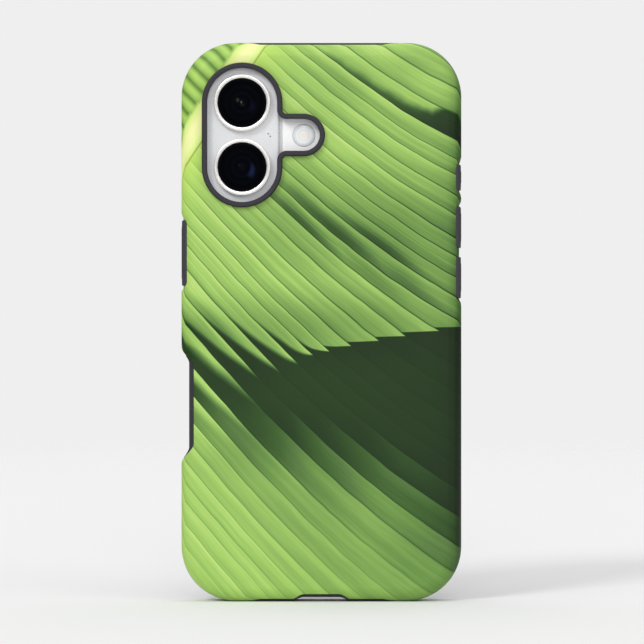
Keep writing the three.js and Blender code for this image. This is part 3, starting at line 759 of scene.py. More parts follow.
# %% [markdown]
# ## Printed polycarbonate with a close view of a leaf
# The shell is polycarbonate with a dye-sublimation print under a satin clear coat. The print
# shows a broad leaf: a pale midrib at the top left, and pleats that run from it down to the
# right. Each pleat is a small roof of leaf between two veins, so across it the tone is a
# sawtooth: a bright crest beside the vein, darkening to a thin dark line at the next one.
# The pattern is built in that order: a number that counts the pleats, the sawtooth inside
# each, then shadows that fill a pleat from its dark side, as a real shadow does on a fold.

# %% Print coordinates
leaf_print_with_painted_light, leaf, leaf_shader = new_finish(
    "printed_polycarbonate_with_painted_light", Roughness=0.42, IOR=1.46, Specular_IOR_Level=0.3
)
spot = millimetres(leaf)
spot_x = add(leaf, "SeparateXYZ", spot, out=0)
spot_y = add(leaf, "SeparateXYZ", spot, out=1)
spot_z = add(leaf, "SeparateXYZ", spot, out=2)
# The print is flat over the back and half way round the fillet. From there on its film is
# drawn forward along the sides, so the pattern goes on with the depth.
WRAP_FROM = BACK + 1.17
past = add(leaf, "Math", spot_y, WRAP_FROM, operation="SUBTRACT")
past = add(leaf, "Math", past, 0.0, operation="MAXIMUM")
aside = add(leaf, "Math", spot_x, past, operation="MULTIPLY")
u = add(leaf, "Math", aside, 1 / CASE_HALF, spot_x, operation="MULTIPLY_ADD")
raised = add(leaf, "Math", spot_z, MIDDLE, operation="SUBTRACT")
aloft = add(leaf, "Math", raised, past, operation="MULTIPLY")
w = add(leaf, "Math", aloft, 1 / MIDDLE, raised, operation="MULTIPLY_ADD")
# A slow waver, so that no vein is a ruled line.
WAVER_SIZE = 16                  # mm from bend to bend
flat_spot = add(leaf, "CombineXYZ", u, w, 0.0)
waver = add(leaf, "TexNoise", named={"Vector": flat_spot, "Scale": 1 / WAVER_SIZE, "Detail": 2.0})
waver = add(leaf, "Math", waver, 0.5, operation="SUBTRACT")
print("the print wraps forward from", round(WRAP_FROM, 2), "mm")

# %% [markdown]
# A leaf's pleats are neither straight nor evenly wide, so a wave texture would look ruled.
# Here the veins are level lines of one bent slope, and a curve turns that slope into a count
# that goes up by one at every vein. The count's fraction says how far across a pleat a point
# is, and everything else on the leaf is drawn with it.

# %% Counting the pleats
# The veins are level lines of height + x (a + b x + c height), which bends them as they fan.
FAN, FAN_BEND, FAN_LIFT = 0.889, -0.0047, -0.00102
WAVER = 1.6                      # how far a vein strays, in mm
slope = add(leaf, "Math", u, FAN_BEND, FAN, operation="MULTIPLY_ADD")
slope = add(leaf, "Math", w, FAN_LIFT, slope, operation="MULTIPLY_ADD")
across = add(leaf, "Math", u, slope, w, operation="MULTIPLY_ADD")
across = add(leaf, "Math", waver, WAVER, across, operation="MULTIPLY_ADD")
# Widths of the pleats in mm, from the top right corner to the lower left one.
PLEATS = [6.8, 7.0, 7.1, 6.6, 4.7, 4.3, 5.2, 5.0, 6.0, 5.0, 5.6, 5.2, 5.9, 5.4, 6.8, 6.8, 7.3,
          6.3, 5.2, 6.2, 7.2, 7.7, 7.8, 9.8, 7.9, 7.5, 7.0, 6.7, 6.2, 5.0, 6.6, 6.4, 6.6, 6.8]
FIRST_COUNTED = -2               # the first two pleats start beyond the corner
VEIN_ZERO = 163.6                # the slope at vein 0, measured from the foot
FIRST_VEIN = VEIN_ZERO + PLEATS[0] + PLEATS[1] - MIDDLE
PLEAT_SPAN = sum(PLEATS)
down = add(leaf, "MapRange", across, FIRST_VEIN, FIRST_VEIN - PLEAT_SPAN, 0.0, 1.0)
edges = [(0.0, 0.0)]
for width in PLEATS:
    edges.append((edges[-1][0] + width / PLEAT_SPAN, edges[-1][1] + 1 / len(PLEATS)))
counted = add(leaf, "FloatCurve", 1.0, down, points=edges)
count = add(leaf, "Math", counted, len(PLEATS), FIRST_COUNTED, operation="MULTIPLY_ADD")
part = add(leaf, "Math", count, operation="FRACT")
print(len(PLEATS), "pleats over", round(PLEAT_SPAN), "mm")

# %% [markdown]
# Single pleats lie in the shade for part of their length. A blurred stripe painted over the
# leaf would cross the veins, so each shadow is a soft ellipse over the width of the case and
# the count of pleats, which bends along with them.

# %% Shadows along the pleats
# Each is its middle across the case in mm and in the count of pleats, its half widths in
# both, and how dark it is.
SHADOWS = [
    (42.0, 2.20, 14.0, 0.7, 0.60),
    (16.0, 9.7, 24.0, 1.2, 0.56),
    (4.0, 10.6, 28.0, 1.2, 0.62),
    (24.0, 10.5, 22.0, 1.6, 0.50),
    (-5.0, 11.6, 22.0, 1.3, 0.56),
    (14.0, 11.3, 22.0, 1.4, 0.50),
    (-24.0, 19.6, 22.0, 1.5, 0.50),
    (-26.0, 20.6, 22.0, 1.5, 0.54),
    (-32.0, 21.6, 20.0, 1.3, 0.50),
]
shade = None
for middle_u, middle_n, half_u, half_n, dark in SHADOWS:
    away_u = add(leaf, "Math", u, 1 / half_u, -middle_u / half_u, operation="MULTIPLY_ADD")
    away_n = add(leaf, "Math", count, 1 / half_n, -middle_n / half_n, operation="MULTIPLY_ADD")
    away = add(leaf, "CombineXYZ", away_u, away_n, 0.0)
    away = add(leaf, "VectorMath", away, out=1, operation="LENGTH")
    one = add(leaf, "MapRange", away, 1.0, 0.0, 0.0, dark, interpolation_type="SMOOTHSTEP")
    shade = one if shade is None else add(leaf, "Math", shade, one, operation="MAXIMUM")
print(len(SHADOWS), "soft shadows")

# %% [markdown]
# The largest shadow is a wedge that lies across the leaf below the middle. Its upper edge is
# crisp on the right, stepped a little at each pleat, and softens to the left. Below, it thins
# out pleat by pleat. Both edges are curves of height over the width of the case, which bend
# with fewer points than a mask of polygons.

# %% The large wedge of shadow
WIDE, TALL = 84.0, 100.0         # the width that the curves span, and the height that is 1
across_case = add(leaf, "Math", u, 1 / WIDE, 0.5, operation="MULTIPLY_ADD")
UPPER_EDGE = [(-42, 70), (-30, 69.5), (-15, 69), (-6, 68.5), (-1.7, 68.6), (8.6, 70.5),
              (24.3, 73.3), (42, 75.8)]
LOWER_EDGE = [(-42, 56), (-30, 51), (-17, 44), (3, 38), (18, 33), (26, 28.5), (33, 23), (42, 15)]
CRISPNESS = [(0, 0.30), (0.2, 0.26), (0.38, 0.14), (0.47, 0.03), (0.55, 0.012), (1, 0.008)]
upper_edge, lower_edge = [
    add(leaf, "FloatCurve", 1.0, across_case, smooth=True,
        points=[(x / WIDE + 0.5, z / TALL) for x, z in edge])
    for edge in (UPPER_EDGE, LOWER_EDGE)
]
height = add(leaf, "Math", w, 1 / TALL, MIDDLE / TALL, operation="MULTIPLY_ADD")
below = add(leaf, "Math", upper_edge, height, operation="SUBTRACT")
tooth = add(leaf, "Math", part, 0.006, -0.004, operation="MULTIPLY_ADD")
below = add(leaf, "Math", below, tooth, operation="ADD")
crisp = add(leaf, "FloatCurve", 1.0, across_case, points=CRISPNESS)
under = add(leaf, "Math", below, crisp, operation="DIVIDE")
under = add(leaf, "MapRange", under, -0.5, 0.5, 0.0, 1.0)
above = add(leaf, "Math", height, lower_edge, operation="SUBTRACT")
soft = add(leaf, "MapRange", u, -30.0, 30.0, 0.10, 0.15)
above = add(leaf, "Math", above, soft, operation="DIVIDE")
above = add(leaf, "MapRange", above, -1.3, 1.15, 0.0, 1.0)
print("the wedge is", UPPER_EDGE[-1][1] - LOWER_EDGE[-1][1], "mm tall at the right")

# %% [markdown]
# A pleat is a fold, so a shadow covers its far side first. The bright side stays lit until the
# shadow is strong, and so a fading shadow ends in a pointed tip on every pleat. A plain
# multiply would fade evenly and lose those tips.

# %% Filling each pleat from its dark side
lit_side = add(leaf, "Math", 1.0, part, operation="SUBTRACT")


def filled(strength, spread, softness):
    """How dark a shadow of some strength is at this place in its pleat."""
    room = add(leaf, "Math", lit_side, spread, operation="MULTIPLY")
    full = add(leaf, "Math", strength, 1 + spread, operation="MULTIPLY")
    over = add(leaf, "Math", full, room, operation="SUBTRACT")
    return add(leaf, "MapRange", over, 0.0, softness, 0.0, 1.0, interpolation_type="SMOOTHSTEP")


# At the left edge of the case the wedge is weaker, and leaves narrow lit crests.
CAP = [(0.0, 0.44), (0.05, 0.48), (0.16, 0.62), (0.27, 0.86), (0.36, 1.0), (1.0, 1.0)]
cap = add(leaf, "FloatCurve", 1.0, across_case, points=CAP)
under = add(leaf, "Math", under, cap, operation="MINIMUM")
wedge = add(leaf, "Math", filled(above, 0.28, 1.0), filled(under, 1.8, 0.9), operation="MULTIPLY")
streaks = filled(shade, 0.6, 1.35)
print("the wedge leaves lit crests up to", CAP[4][0], "of the width")

# %% The shadow that widens
# One shadow starts as a thin line at the top edge and widens until it fills its whole pleat.
# Its edge is torn, with tatters about 4.5 mm long.
WIDENING = [(0.0, 0.0), (0.49, 0.12), (0.54, 0.24), (0.68, 0.32), (0.79, 0.38),
            (0.86, 0.46), (0.90, 0.72), (0.94, 1.0), (1.0, 1.0)]
WIDENING_PLEAT, TATTER = 1.5, 4.5
here = add(leaf, "Math", count, WIDENING_PLEAT, operation="SUBTRACT")
here = add(leaf, "Math", here, operation="ABSOLUTE")
here = add(leaf, "MapRange", here, 0.5, 0.49, 0.0, 1.0)
widening = add(leaf, "FloatCurve", 1.0, across_case, points=WIDENING)
torn = add(leaf, "TexNoise", named={"Vector": flat_spot, "Scale": 1 / TATTER, "Detail": 1.5})
torn = add(leaf, "Math", torn, 0.5, operation="SUBTRACT")
torn = add(leaf, "Math", torn, 0.14, widening, operation="MULTIPLY_ADD")
widening = add(leaf, "Math", filled(torn, 1.1, 0.55), here, operation="MULTIPLY")
depth = add(leaf, "MapRange", u, 0.0, 32.0, 0.45, 0.96)
widening = add(leaf, "Math", widening, depth, operation="MULTIPLY")
streaks = add(leaf, "Math", streaks, widening, operation="MAXIMUM")
darkness = add(leaf, "Math", wedge, streaks, operation="MAXIMUM")
print("one shadow widens in pleat", WIDENING_PLEAT - 0.5)

# %% [markdown]
# The tone of the leaf out of the shadows is a level that changes slowly over the case, with
# the relief of the pleats, the veins and the fibres added to it. The relief is drawn in the
# print and not with bump, because the real case is smooth there and only the print shows it.

# %% The tone of the lit leaf
# The sawtooth, from the crest beside one vein to the dark line at the next.
SAWTOOTH = [(0, 0.30), (0.03, 0.95), (0.07, 1.0), (0.14, 0.86), (0.32, 0.72), (0.5, 0.62),
            (0.75, 0.45), (0.93, 0.32), (1, 0.30)]
# The vein itself is a crisp dark line, and half way up the case a fold runs in each pleat too.
VEIN = [(0, 0.7), (0.018, 0.0), (0.93, 0.0), (0.955, 0.8), (0.975, 1.0), (1, 0.7)]
FOLD = [(0, 0.0), (0.36, 0.0), (0.44, -0.8), (0.47, 1.0), (0.52, 0.6), (0.62, 0.0), (1, 0.0)]
tone = add(leaf, "FloatCurve", 1.0, part, points=SAWTOOTH)
vein = add(leaf, "FloatCurve", 1.0, part, points=VEIN)
fold = add(leaf, "FloatCurve", 1.0, part, points=FOLD)
fold_here = add(leaf, "MapRange", across, 78.0, 40.0, 0.0, 0.045)
upper_half = add(leaf, "MapRange", w, 0.0, 20.0, 0.0, 1.0)
fold_here = add(leaf, "Math", fold_here, upper_half, operation="MULTIPLY")
# Fibres run with the veins, and broader waves too. Their sizes across are in mm.
FIBRE, WAVE = 0.55, 2.4
along = add(leaf, "Math", w, -0.6, u, operation="MULTIPLY_ADD")
along = add(leaf, "Math", along, 0.03, operation="MULTIPLY")
fibre_spot = add(leaf, "CombineXYZ", across, along, 0.0)
fibre_look = {"Vector": fibre_spot, "Scale": 1 / FIBRE, "Detail": 3.0, "Roughness": 0.6}
fibres = add(leaf, "TexNoise", named=fibre_look)
fibres = add(leaf, "Math", fibres, 0.5, operation="SUBTRACT")
waves = add(leaf, "TexNoise", named={"Vector": fibre_spot, "Scale": 1 / WAVE, "Detail": 1.0})
waves = add(leaf, "Math", waves, 0.5, operation="SUBTRACT")
contrast = add(leaf, "MapRange", w, -70.0, -20.0, 0.11, 0.21)
line_depth = add(leaf, "MapRange", w, -70.0, -10.0, 0.05, 0.20)
line = add(leaf, "Math", vein, line_depth, operation="MULTIPLY")
relief = add(leaf, "Math", tone, 0.58, operation="SUBTRACT")
relief = add(leaf, "Math", relief, contrast, operation="MULTIPLY")
relief = add(leaf, "Math", line, -1.0, relief, operation="MULTIPLY_ADD")
relief = add(leaf, "Math", fold, fold_here, relief, operation="MULTIPLY_ADD")
relief = add(leaf, "Math", fibres, 0.13, relief, operation="MULTIPLY_ADD")
relief = add(leaf, "Math", waves, 0.17, relief, operation="MULTIPLY_ADD")
print("fibres", FIBRE, "mm and waves", WAVE, "mm across")

# %% How light the leaf is
# The level falls off towards the right side, where the leaf turns away. Past the start of the
# right fillet it falls steeply: there and round the side it is painted shade, for the fillet
# turned away from the key light.
LEVEL_WITH_EDGE_SHADE = [(0.0, 0.785), (0.2, 0.76), (0.5, 0.745), (0.75, 0.71), (0.88, 0.66), (0.93, 0.58),
         (0.955, 0.46), (1.0, 0.44)]
level = add(leaf, "FloatCurve", 1.0, across_case, points=LEVEL_WITH_EDGE_SHADE, smooth=True)
# Broad, soft patches are dimmer where the leaf turns away from the sun: x, z, half widths in
# both, and how much dimmer. The one at x 42 is painted shade along the right fillet and side.
# The last two are lit more: a painted sheen near the top right corner.
TONE_SHADE_AND_SHEEN_PATCHES = [
    (8.0, 26.0, 42.0, 22.0, 0.16),
    (24.0, 16.0, 22.0, 22.0, 0.08),
    (0.0, -1.0, 52.0, 15.0, 0.15),
    (-36.0, -2.0, 12.0, 12.0, 0.08),
    # painted shade along the right fillet and side
    (42.0, 20.0, 16.0, 60.0, 0.08),
    (10.0, -60.0, 36.0, 34.0, 0.10),
    (32.0, -58.0, 22.0, 30.0, 0.14),
    (-2.0, -42.0, 36.0, 22.0, 0.12),
    (-20.0, -34.0, 22.0, 14.0, 0.10),
    (-22.0, -12.0, 18.0, 10.0, 0.08),
    (-8.0, 36.0, 12.0, 14.0, 0.08),
    (6.0, 66.0, 14.0, 12.0, 0.05),
    # painted sheen near the top right corner, these two
    (34.0, 66.0, 14.0, 12.0, -0.07),
    (16.0, 78.0, 20.0, 10.0, -0.11),
]
for middle_x, middle_z, half_x, half_z, depth in TONE_SHADE_AND_SHEEN_PATCHES:
    away_x = add(leaf, "Math", u, 1 / half_x, -middle_x / half_x, operation="MULTIPLY_ADD")
    away_z = add(leaf, "Math", w, 1 / half_z, -middle_z / half_z, operation="MULTIPLY_ADD")
    away = add(leaf, "CombineXYZ", away_x, away_z, 0.0)
    away = add(leaf, "VectorMath", away, out=1, operation="LENGTH")
    away = add(leaf, "MapRange", away, 1.0, 0.0, 0.0, depth, interpolation_type="SMOOTHSTEP")
    level = add(leaf, "Math", level, away, operation="SUBTRACT")
flatten = add(leaf, "Math", wedge, -0.75, 1.0, operation="MULTIPLY_ADD")
relief = add(leaf, "Math", relief, flatten, operation="MULTIPLY")
lightness = add(leaf, "Math", level, relief, operation="ADD")
cover = add(leaf, "Math", darkness, -0.655, 1.0, operation="MULTIPLY_ADD")
lightness = add(leaf, "Math", lightness, cover, operation="MULTIPLY")
print(len(TONE_SHADE_AND_SHEEN_PATCHES), "patches dim or lift the level")

# %% [markdown]
# A leaf isn't one green times a lightness: in the shade it turns blue-green and dull, and in
# the sun yellow. So a colour ramp gives every lightness its own green.

# %% Leaf greens over lightness
GREENS = [
    (0.13, "#041600"), (0.216, "#0c2900"), (0.267, "#19370a"), (0.376, "#375a22"),
    (0.467, "#527438"), (0.533, "#61883e"), (0.667, "#80a651"), (0.769, "#9bc260"),
    (0.82, "#abcd6d"), (0.90, "#c2dd7c"), (0.98, "#dcec9c"),
]
greens = add(leaf, "ValToRGB", lightness, stops=GREENS)
print(len(GREENS), "greens from shade to sun")

# %% [markdown]
# The midrib is a round, pale stalk that crosses the top left corner. It is a band of colour
# over the distance from its lower edge, light in the middle, with a thin dark line where the
# blade joins. The far half of the leaf beyond it has narrow pleats, seen nearly edge on.

# %% The midrib and the far half of the leaf
# The midrib's edge goes through a point (x, z), and its direction across is a unit vector.
RIB = (0.832, -0.555)
RIB_X, RIB_Z = -14.8, 151.9
RIB_START = RIB[0] * -RIB_X - RIB[1] * (RIB_Z - MIDDLE)
FAR_PLEAT = 4.9
off_rib = add(leaf, "Math", u, RIB[0], RIB_START, operation="MULTIPLY_ADD")
off_rib = add(leaf, "Math", w, RIB[1], off_rib, operation="MULTIPLY_ADD")
rib_share = add(leaf, "MapRange", off_rib, -8.0, 12.0, 0.0, 1.0)
RIB_TONES = [
    (0.0, "#7ba04a"), (0.05, "#a9cf62"), (0.10, "#d3e884"), (0.20, "#eef0a8"), (0.30, "#e6f0a0"),
    (0.375, "#d0e880"), (0.397, "#86a048"), (0.415, "#bfe068"), (0.7, "#b4dc66"), (1.0, "#a9d060"),
]
NEAR_RIB = [(0, 0), (0.04, 0.0), (0.09, 1.0), (0.41, 1.0), (0.43, 0.72), (0.62, 0.42), (1.0, 0.0)]
rib_colour = add(leaf, "ValToRGB", rib_share, stops=RIB_TONES)
near_rib = add(leaf, "FloatCurve", 1.0, rib_share, points=NEAR_RIB)
stripe = add(leaf, "Math", u, w, operation="ADD")
stripe = add(leaf, "Math", waver, 2.0, stripe, operation="MULTIPLY_ADD")
stripe = add(leaf, "Math", stripe, 1 / FAR_PLEAT, operation="MULTIPLY")
stripe = add(leaf, "Math", stripe, operation="FRACT")
FAR_TONES = [
    (0.0, "#7ba24a"), (0.16, "#587d30"), (0.30, "#86ad4e"), (0.5, "#a0c85e"), (0.72, "#acd264"),
    (0.9, "#98bf58"), (1.0, "#7ba24a"),
]
far_half = add(leaf, "ValToRGB", stripe, stops=FAR_TONES)
beyond = add(leaf, "MapRange", off_rib, -6.4, -7.4, 0.0, 1.0)
picture = add(leaf, "Mix", near_rib, named={6: greens, 7: rib_colour}, out=2, data_type="RGBA")
picture = add(leaf, "Mix", beyond, named={6: picture, 7: far_half}, out=2, data_type="RGBA")
leaf.links.new(picture, leaf_shader.inputs["Base Color"])
print(len(RIB_TONES), "tones over the midrib,", len(FAR_TONES), "over a far pleat")

# %% [markdown]
# A satin clear coat lies over the print. It keeps a trace of the mould, a shallow orange
# peel, so that a reflection on it is never quite even.

# %% Satin coat
PEEL = 0.8                       # how wide a dimple of the orange peel is, in mm
peel = add(leaf, "TexNoise", named={"Vector": spot, "Scale": 1 / PEEL, "Detail": 2.0})
satin = add(leaf, "MapRange", peel, 0.3, 0.7, 0.40, 0.48)
leaf.links.new(satin, leaf_shader.inputs["Roughness"])
peel = add(leaf, "Bump", named={"Height": peel, "Strength": 1.0, "Distance": 0.004 * MM})
leaf.links.new(peel, leaf_shader.inputs["Normal"])
print(leaf_print_with_painted_light.name, "has", len(leaf.nodes), "nodes")

# %% [markdown]
# ## Rubber
# The liner and the pads are TPU, a soft rubber, moulded in a finely spark-eroded tool. That
# gives a dull charcoal with no clear reflection. The real grain is near 0.05 mm and can't be
# seen at this size, so it is drawn at 0.3 mm.

# %% Rubbers
liner_rubber, tree, shader = new_finish("moulded_tpu_charcoal", IOR=1.5, Specular_IOR_Level=0.35)
grained(tree, shader, "#322f38", "#27262d", 0.3, 0.01, (0.55, 0.68))
# The pads are the same TPU as the liner, set a shade lighter: painted light, for the light their
# faces catch.
pad_rubber, tree, shader = new_finish("moulded_tpu_pads_painted_lighter", IOR=1.5, Specular_IOR_Level=0.35)
grained(tree, shader, "#3b3a41", "#302f37", 0.3, 0.01, (0.5, 0.62))

# %% [markdown]
# ## The phone's own finishes
# Anodised aluminium is blasted first, so it is a metal with a soft, even sheen. The lens
# rings are cut bright with a diamond after that: their fine turning marks scatter the pale
# room so widely that they look nearly white, so they are only partly metal here. The back is
# glass that was made cloudy white and etched matte. Its plateau is polished, so it is a
# little glossier, and its white is set a little lower: painted shade, for the shade that falls
# inside the collar.

# %% Metals and glass
anodised, tree, shader = new_finish("bead_blasted_anodised_aluminium", Metallic=1.0)
grained(tree, shader, "#dcdddf", "#d2d3d6", 0.25, 0.002, (0.30, 0.38))
bright, tree, shader = new_finish("diamond_turned_aluminium", Metallic=0.55)
grained(tree, shader, "#f4f1ee", "#eeebe8", 0.2, 0.001, (0.22, 0.30))
white_glass, tree, shader = new_finish(
    "etched_white_glass", IOR=1.5, Coat_Weight=0.3, Coat_Roughness=0.12
)
grained(tree, shader, "#fefefe", "#fafafb", 0.4, 0.001, (0.30, 0.38))
# The plateau's white is lower than the etched back's: painted shade from the collar round it.
plateau_glass_painted_shade, tree, shader = new_finish(
    "polished_white_glass_plateau_painted_shade", IOR=1.5, Coat_Weight=0.3, Coat_Roughness=0.1
)
grained(tree, shader, "#e0e1e3", "#d8d9dc", 0.4, 0.001, (0.22, 0.30))

# %% [markdown]
# ## Coated cover glass
# The cover glass over each lens is coated against reflections and lies over a black funnel of
# steps. From the front the eye sees black, the steps as faint rings, small glints of the
# curved elements near the axis, and a bluish glint low on the right where the coating catches
# the light. A turned funnel under clear glass could show this too, but hardly any light gets
# down there, so the rings and the glints are given by the glass's own colour round its axis.

# %% Lens glass
LENS_RADIUS = 7.0                # where the steps' colours end, in mm
STEPS = [
    (0.0, "#0a0d12"), (0.16, "#07080d"), (0.30, "#040509"), (0.34, "#080a10"),
    (0.50, "#040507"), (0.62, "#07080c"), (0.80, "#030406"), (0.9, "#08090c"),
]


def lens_glass(name, z, glints):
    """Cover glass for the lens at a height. A glint over 1 mm wide is a crescent."""
    made, tree, shader = new_finish(name, IOR=1.52, Roughness=0.04, Specular_IOR_Level=0.03)
    place = millimetres(tree)
    off = add(tree, "VectorMath", place, (CAMERA_X, GLASS_TOP, z), operation="SUBTRACT")
    flat = add(tree, "VectorMath", off, (1.0, 0.0, 1.0), operation="MULTIPLY")
    radius = add(tree, "VectorMath", flat, out=1, operation="LENGTH")
    share = add(tree, "Math", radius, 1 / LENS_RADIUS, operation="MULTIPLY")
    colour = add(tree, "ValToRGB", share, stops=STEPS)
    outside = add(tree, "MapRange", radius, 2.0, 2.9, 0.0, 1.0)
    for x, z_off, wide, tall, tone in glints:
        spot_off = add(tree, "VectorMath", flat, (x, 0.0, z_off), operation="SUBTRACT")
        spot_off = add(tree, "VectorMath", spot_off, (1 / wide, 1.0, 1 / tall), operation="MULTIPLY")
        lit = add(tree, "VectorMath", spot_off, out=1, operation="LENGTH")
        lit = add(tree, "MapRange", lit, 1.0, 0.1, 0.0, 0.9, interpolation_type="SMOOTHSTEP")
        if wide > 1:
            lit = add(tree, "Math", lit, outside, operation="MULTIPLY")
        colour = add(tree, "Mix", lit, named={6: colour, 7: linear(tone)}, out=2, data_type="RGBA")
    tree.links.new(colour, shader.inputs["Base Color"])
    film = add(tree, "TexNoise", named={"Vector": place, "Scale": 1 / 5.0, "Detail": 1.0})
    film = add(tree, "MapRange", film, 0.3, 0.7, 0.03, 0.07)
    tree.links.new(film, shader.inputs["Roughness"])
    print(name, "has", len(glints), "glints")
    return made


# Each glint is its x and z from the axis, its half width and half height in mm, and its colour.
upper_lens = lens_glass("coated_cover_glass_upper", UPPER_Z, [
    (-1.2, 0.7, 0.7, 0.9, "#352f27"),
    (-0.2, 0.15, 0.3, 0.5, "#5c625c"),
    (0.1, -0.6, 0.9, 0.5, "#1c201b"),
    (2.6, -1.0, 1.6, 2.4, "#0d101e"),
])
lower_lens = lens_glass("coated_cover_glass_lower", LOWER_Z, [
    (-0.7, 0.5, 0.4, 0.4, "#1e2021"),
    (2.4, -0.9, 1.7, 2.7, "#1c2340"),
])

# %% [markdown]
# ## Moulded acrylic
# The flash is a clear moulded acrylic lens with fine rings, like a lighthouse lens, over a
# small yellowish light. The rings are 0.35 mm apart and shallow, so they are drawn as bump,
# and the tones under them are a ramp over the distance from the axis.

# %% Flash
FLASH_RADIUS, RING_SPACING = 3.0, 0.35
FLASH_TONES = [
    (0.0, "#ffffff"), (0.08, "#fff2d4"), (0.18, "#fbf4e6"), (0.30, "#fdfdfb"), (0.48, "#f1f2f2"),
    (0.62, "#fcfdfd"), (0.78, "#eff1f2"), (0.90, "#e3e6e8"), (1.0, "#f4f5f6"),
]
flash_finish, tree, shader = new_finish(
    "moulded_acrylic_flash_lens", IOR=1.49, Roughness=0.12, Coat_Weight=0.4
)
off = add(tree, "VectorMath", millimetres(tree), (FLASH_X, 0.0, FLASH_Z), operation="SUBTRACT")
flat = add(tree, "VectorMath", off, (1.0, 0.0, 1.0), operation="MULTIPLY")
radius = add(tree, "VectorMath", flat, out=1, operation="LENGTH")
share = add(tree, "Math", radius, 1 / FLASH_RADIUS, operation="MULTIPLY")
disc = add(tree, "ValToRGB", share, stops=FLASH_TONES)
tree.links.new(disc, shader.inputs["Base Color"])
rings = add(tree, "Math", radius, math.tau / RING_SPACING, operation="MULTIPLY")
rings = add(tree, "Math", rings, operation="SINE")
rings = add(tree, "Bump", named={"Height": rings, "Strength": 1.0, "Distance": 0.012 * MM})
tree.links.new(rings, shader.inputs["Normal"])
print(flash_finish.name, "has", len(tree.nodes), "nodes")

# %% [markdown]
# ## Hardened display glass
# The display is off. Its border is printed black behind the glass, and the panel inside it
# is a shade lighter and bluer, with a black pill round the front camera. Both outlines are
# rounded shapes, so each is drawn as a distance from a smaller box or line. Fingers leave a
# slow smear in the gloss.

# %% Display
display, tree, shader = new_finish("chemically_hardened_display_glass", IOR=1.51, Roughness=0.05)
place = millimetres(tree)
off = add(tree, "VectorMath", place, (0.0, 0.0, MIDDLE), operation="SUBTRACT")
far = add(tree, "VectorMath", off, operation="ABSOLUTE")
BORDER, PANEL_CORNER = 2.2, 10.0
inner_x = PHONE_HALF - BORDER - PANEL_CORNER
inner_z = PHONE_TALL - BORDER - PANEL_CORNER
far = add(tree, "VectorMath", far, (inner_x, 0.0, inner_z), operation="SUBTRACT")
far = add(tree, "VectorMath", far, (0.0, 0.0, 0.0), operation="MAXIMUM")
far = add(tree, "VectorMath", far, (1.0, 0.0, 1.0), operation="MULTIPLY")
far = add(tree, "VectorMath", far, out=1, operation="LENGTH")
panel = add(tree, "MapRange", far, PANEL_CORNER, PANEL_CORNER - 0.1, 0.0, 1.0)
PILL_HALF, PILL_RADIUS = 4.1, 2.1
pill_z = span("front_camera_module")[0][2] + 3.5
pill = add(tree, "VectorMath", place, (0.0, 0.0, pill_z), operation="SUBTRACT")
pill = add(tree, "VectorMath", pill, operation="ABSOLUTE")
pill = add(tree, "VectorMath", pill, (PILL_HALF, 0.0, 0.0), operation="SUBTRACT")
pill = add(tree, "VectorMath", pill, (0.0, 0.0, 0.0), operation="MAXIMUM")
pill = add(tree, "VectorMath", pill, (1.0, 0.0, 1.0), operation="MULTIPLY")
pill = add(tree, "VectorMath", pill, out=1, operation="LENGTH")
pill = add(tree, "MapRange", pill, PILL_RADIUS, PILL_RADIUS + 0.1, 0.0, 1.0)
panel = add(tree, "Math", panel, pill, operation="MULTIPLY")
tones = {6: linear("#050506"), 7: linear("#0d0f13")}
colour = add(tree, "Mix", panel, named=tones, out=2, data_type="RGBA")
tree.links.new(colour, shader.inputs["Base Color"])
smear = add(tree, "TexNoise", named={"Vector": place, "Scale": 1 / 22.0, "Detail": 4.0})
smear = add(tree, "MapRange", smear, 0.35, 0.7, 0.04, 0.10)
tree.links.new(smear, shader.inputs["Roughness"])
print(display.name, "has", len(tree.nodes), "nodes")

# %% [markdown]
# ## Inside the phone
# These pieces hardly show, but each is what it would be. Housings are moulded in nylon filled
# with glass fibre, which is a dull black. Shields, screws and switches are stamped steel with
# nickel on it, a grey metal with a soft streak along the sheet. The coil is copper wire under
# clear enamel, warm and glossy. The cell is wrapped in a dark foil that creases, and the
# board is laminate under a green solder mask. The light is coated with yellow phosphor.

# %% Finishes for the inside
nylon, tree, shader = new_finish("moulded_glass_filled_nylon", IOR=1.53)
grained(tree, shader, "#202124", "#18191b", 0.3, 0.01, (0.5, 0.65))
steel, tree, shader = new_finish("stamped_nickel_plated_steel", Metallic=1.0)
grained(tree, shader, "#a6a8ac", "#94969a", 0.3, 0.004, (0.28, 0.4), stretch=(0.1, 1, 1))
foil, tree, shader = new_finish("foil_laminate_wrap", IOR=1.5)
grained(tree, shader, "#313236", "#26272a", 1.2, 0.05, (0.3, 0.5))
board, tree, shader = new_finish("solder_masked_laminate", IOR=1.5)
grained(tree, shader, "#1f4a37", "#12301f", 0.8, 0.02, (0.35, 0.5), drift=3.0)
copper, tree, shader = new_finish("enamelled_copper_wire", Metallic=1.0)
grained(tree, shader, "#c67e4c", "#a9673a", 0.4, 0.02, (0.3, 0.45), stretch=(1, 1, 0.2))
phosphor, tree, shader = new_finish("phosphor_coated_light", IOR=1.5)
grained(tree, shader, "#f2e29a", "#e2c866", 0.4, 0.01, (0.5, 0.7))

# %% [markdown]
# ## Giving out the finishes
# Each new piece gets its finish, and the raised part of the back glass gets the polished one,
# whose lower white is painted shade, in a second slot. The CAD nodes that stay visible keep
# their meshes. A finish is only linked to the object in front of their own, so nothing of the
# CAD model is changed.

# %% Give every piece its finish
for piece, finish in [
    (shell, leaf_print_with_painted_light),
    (liner, liner_rubber),
    (back_sheet, white_glass),
    (lens_parts["upper"][0], bright),
    (lens_parts["lower"][0], bright),
    (lens_parts["upper"][1], upper_lens),
    (lens_parts["lower"][1], lower_lens),
    (flash, flash_finish),
    (screen, display),
    *[(made, pad_rubber) for made in pads.values()],
]:
    piece.data.materials.clear()
    piece.data.materials.append(finish)
    print(piece.name, "is", finish.name)

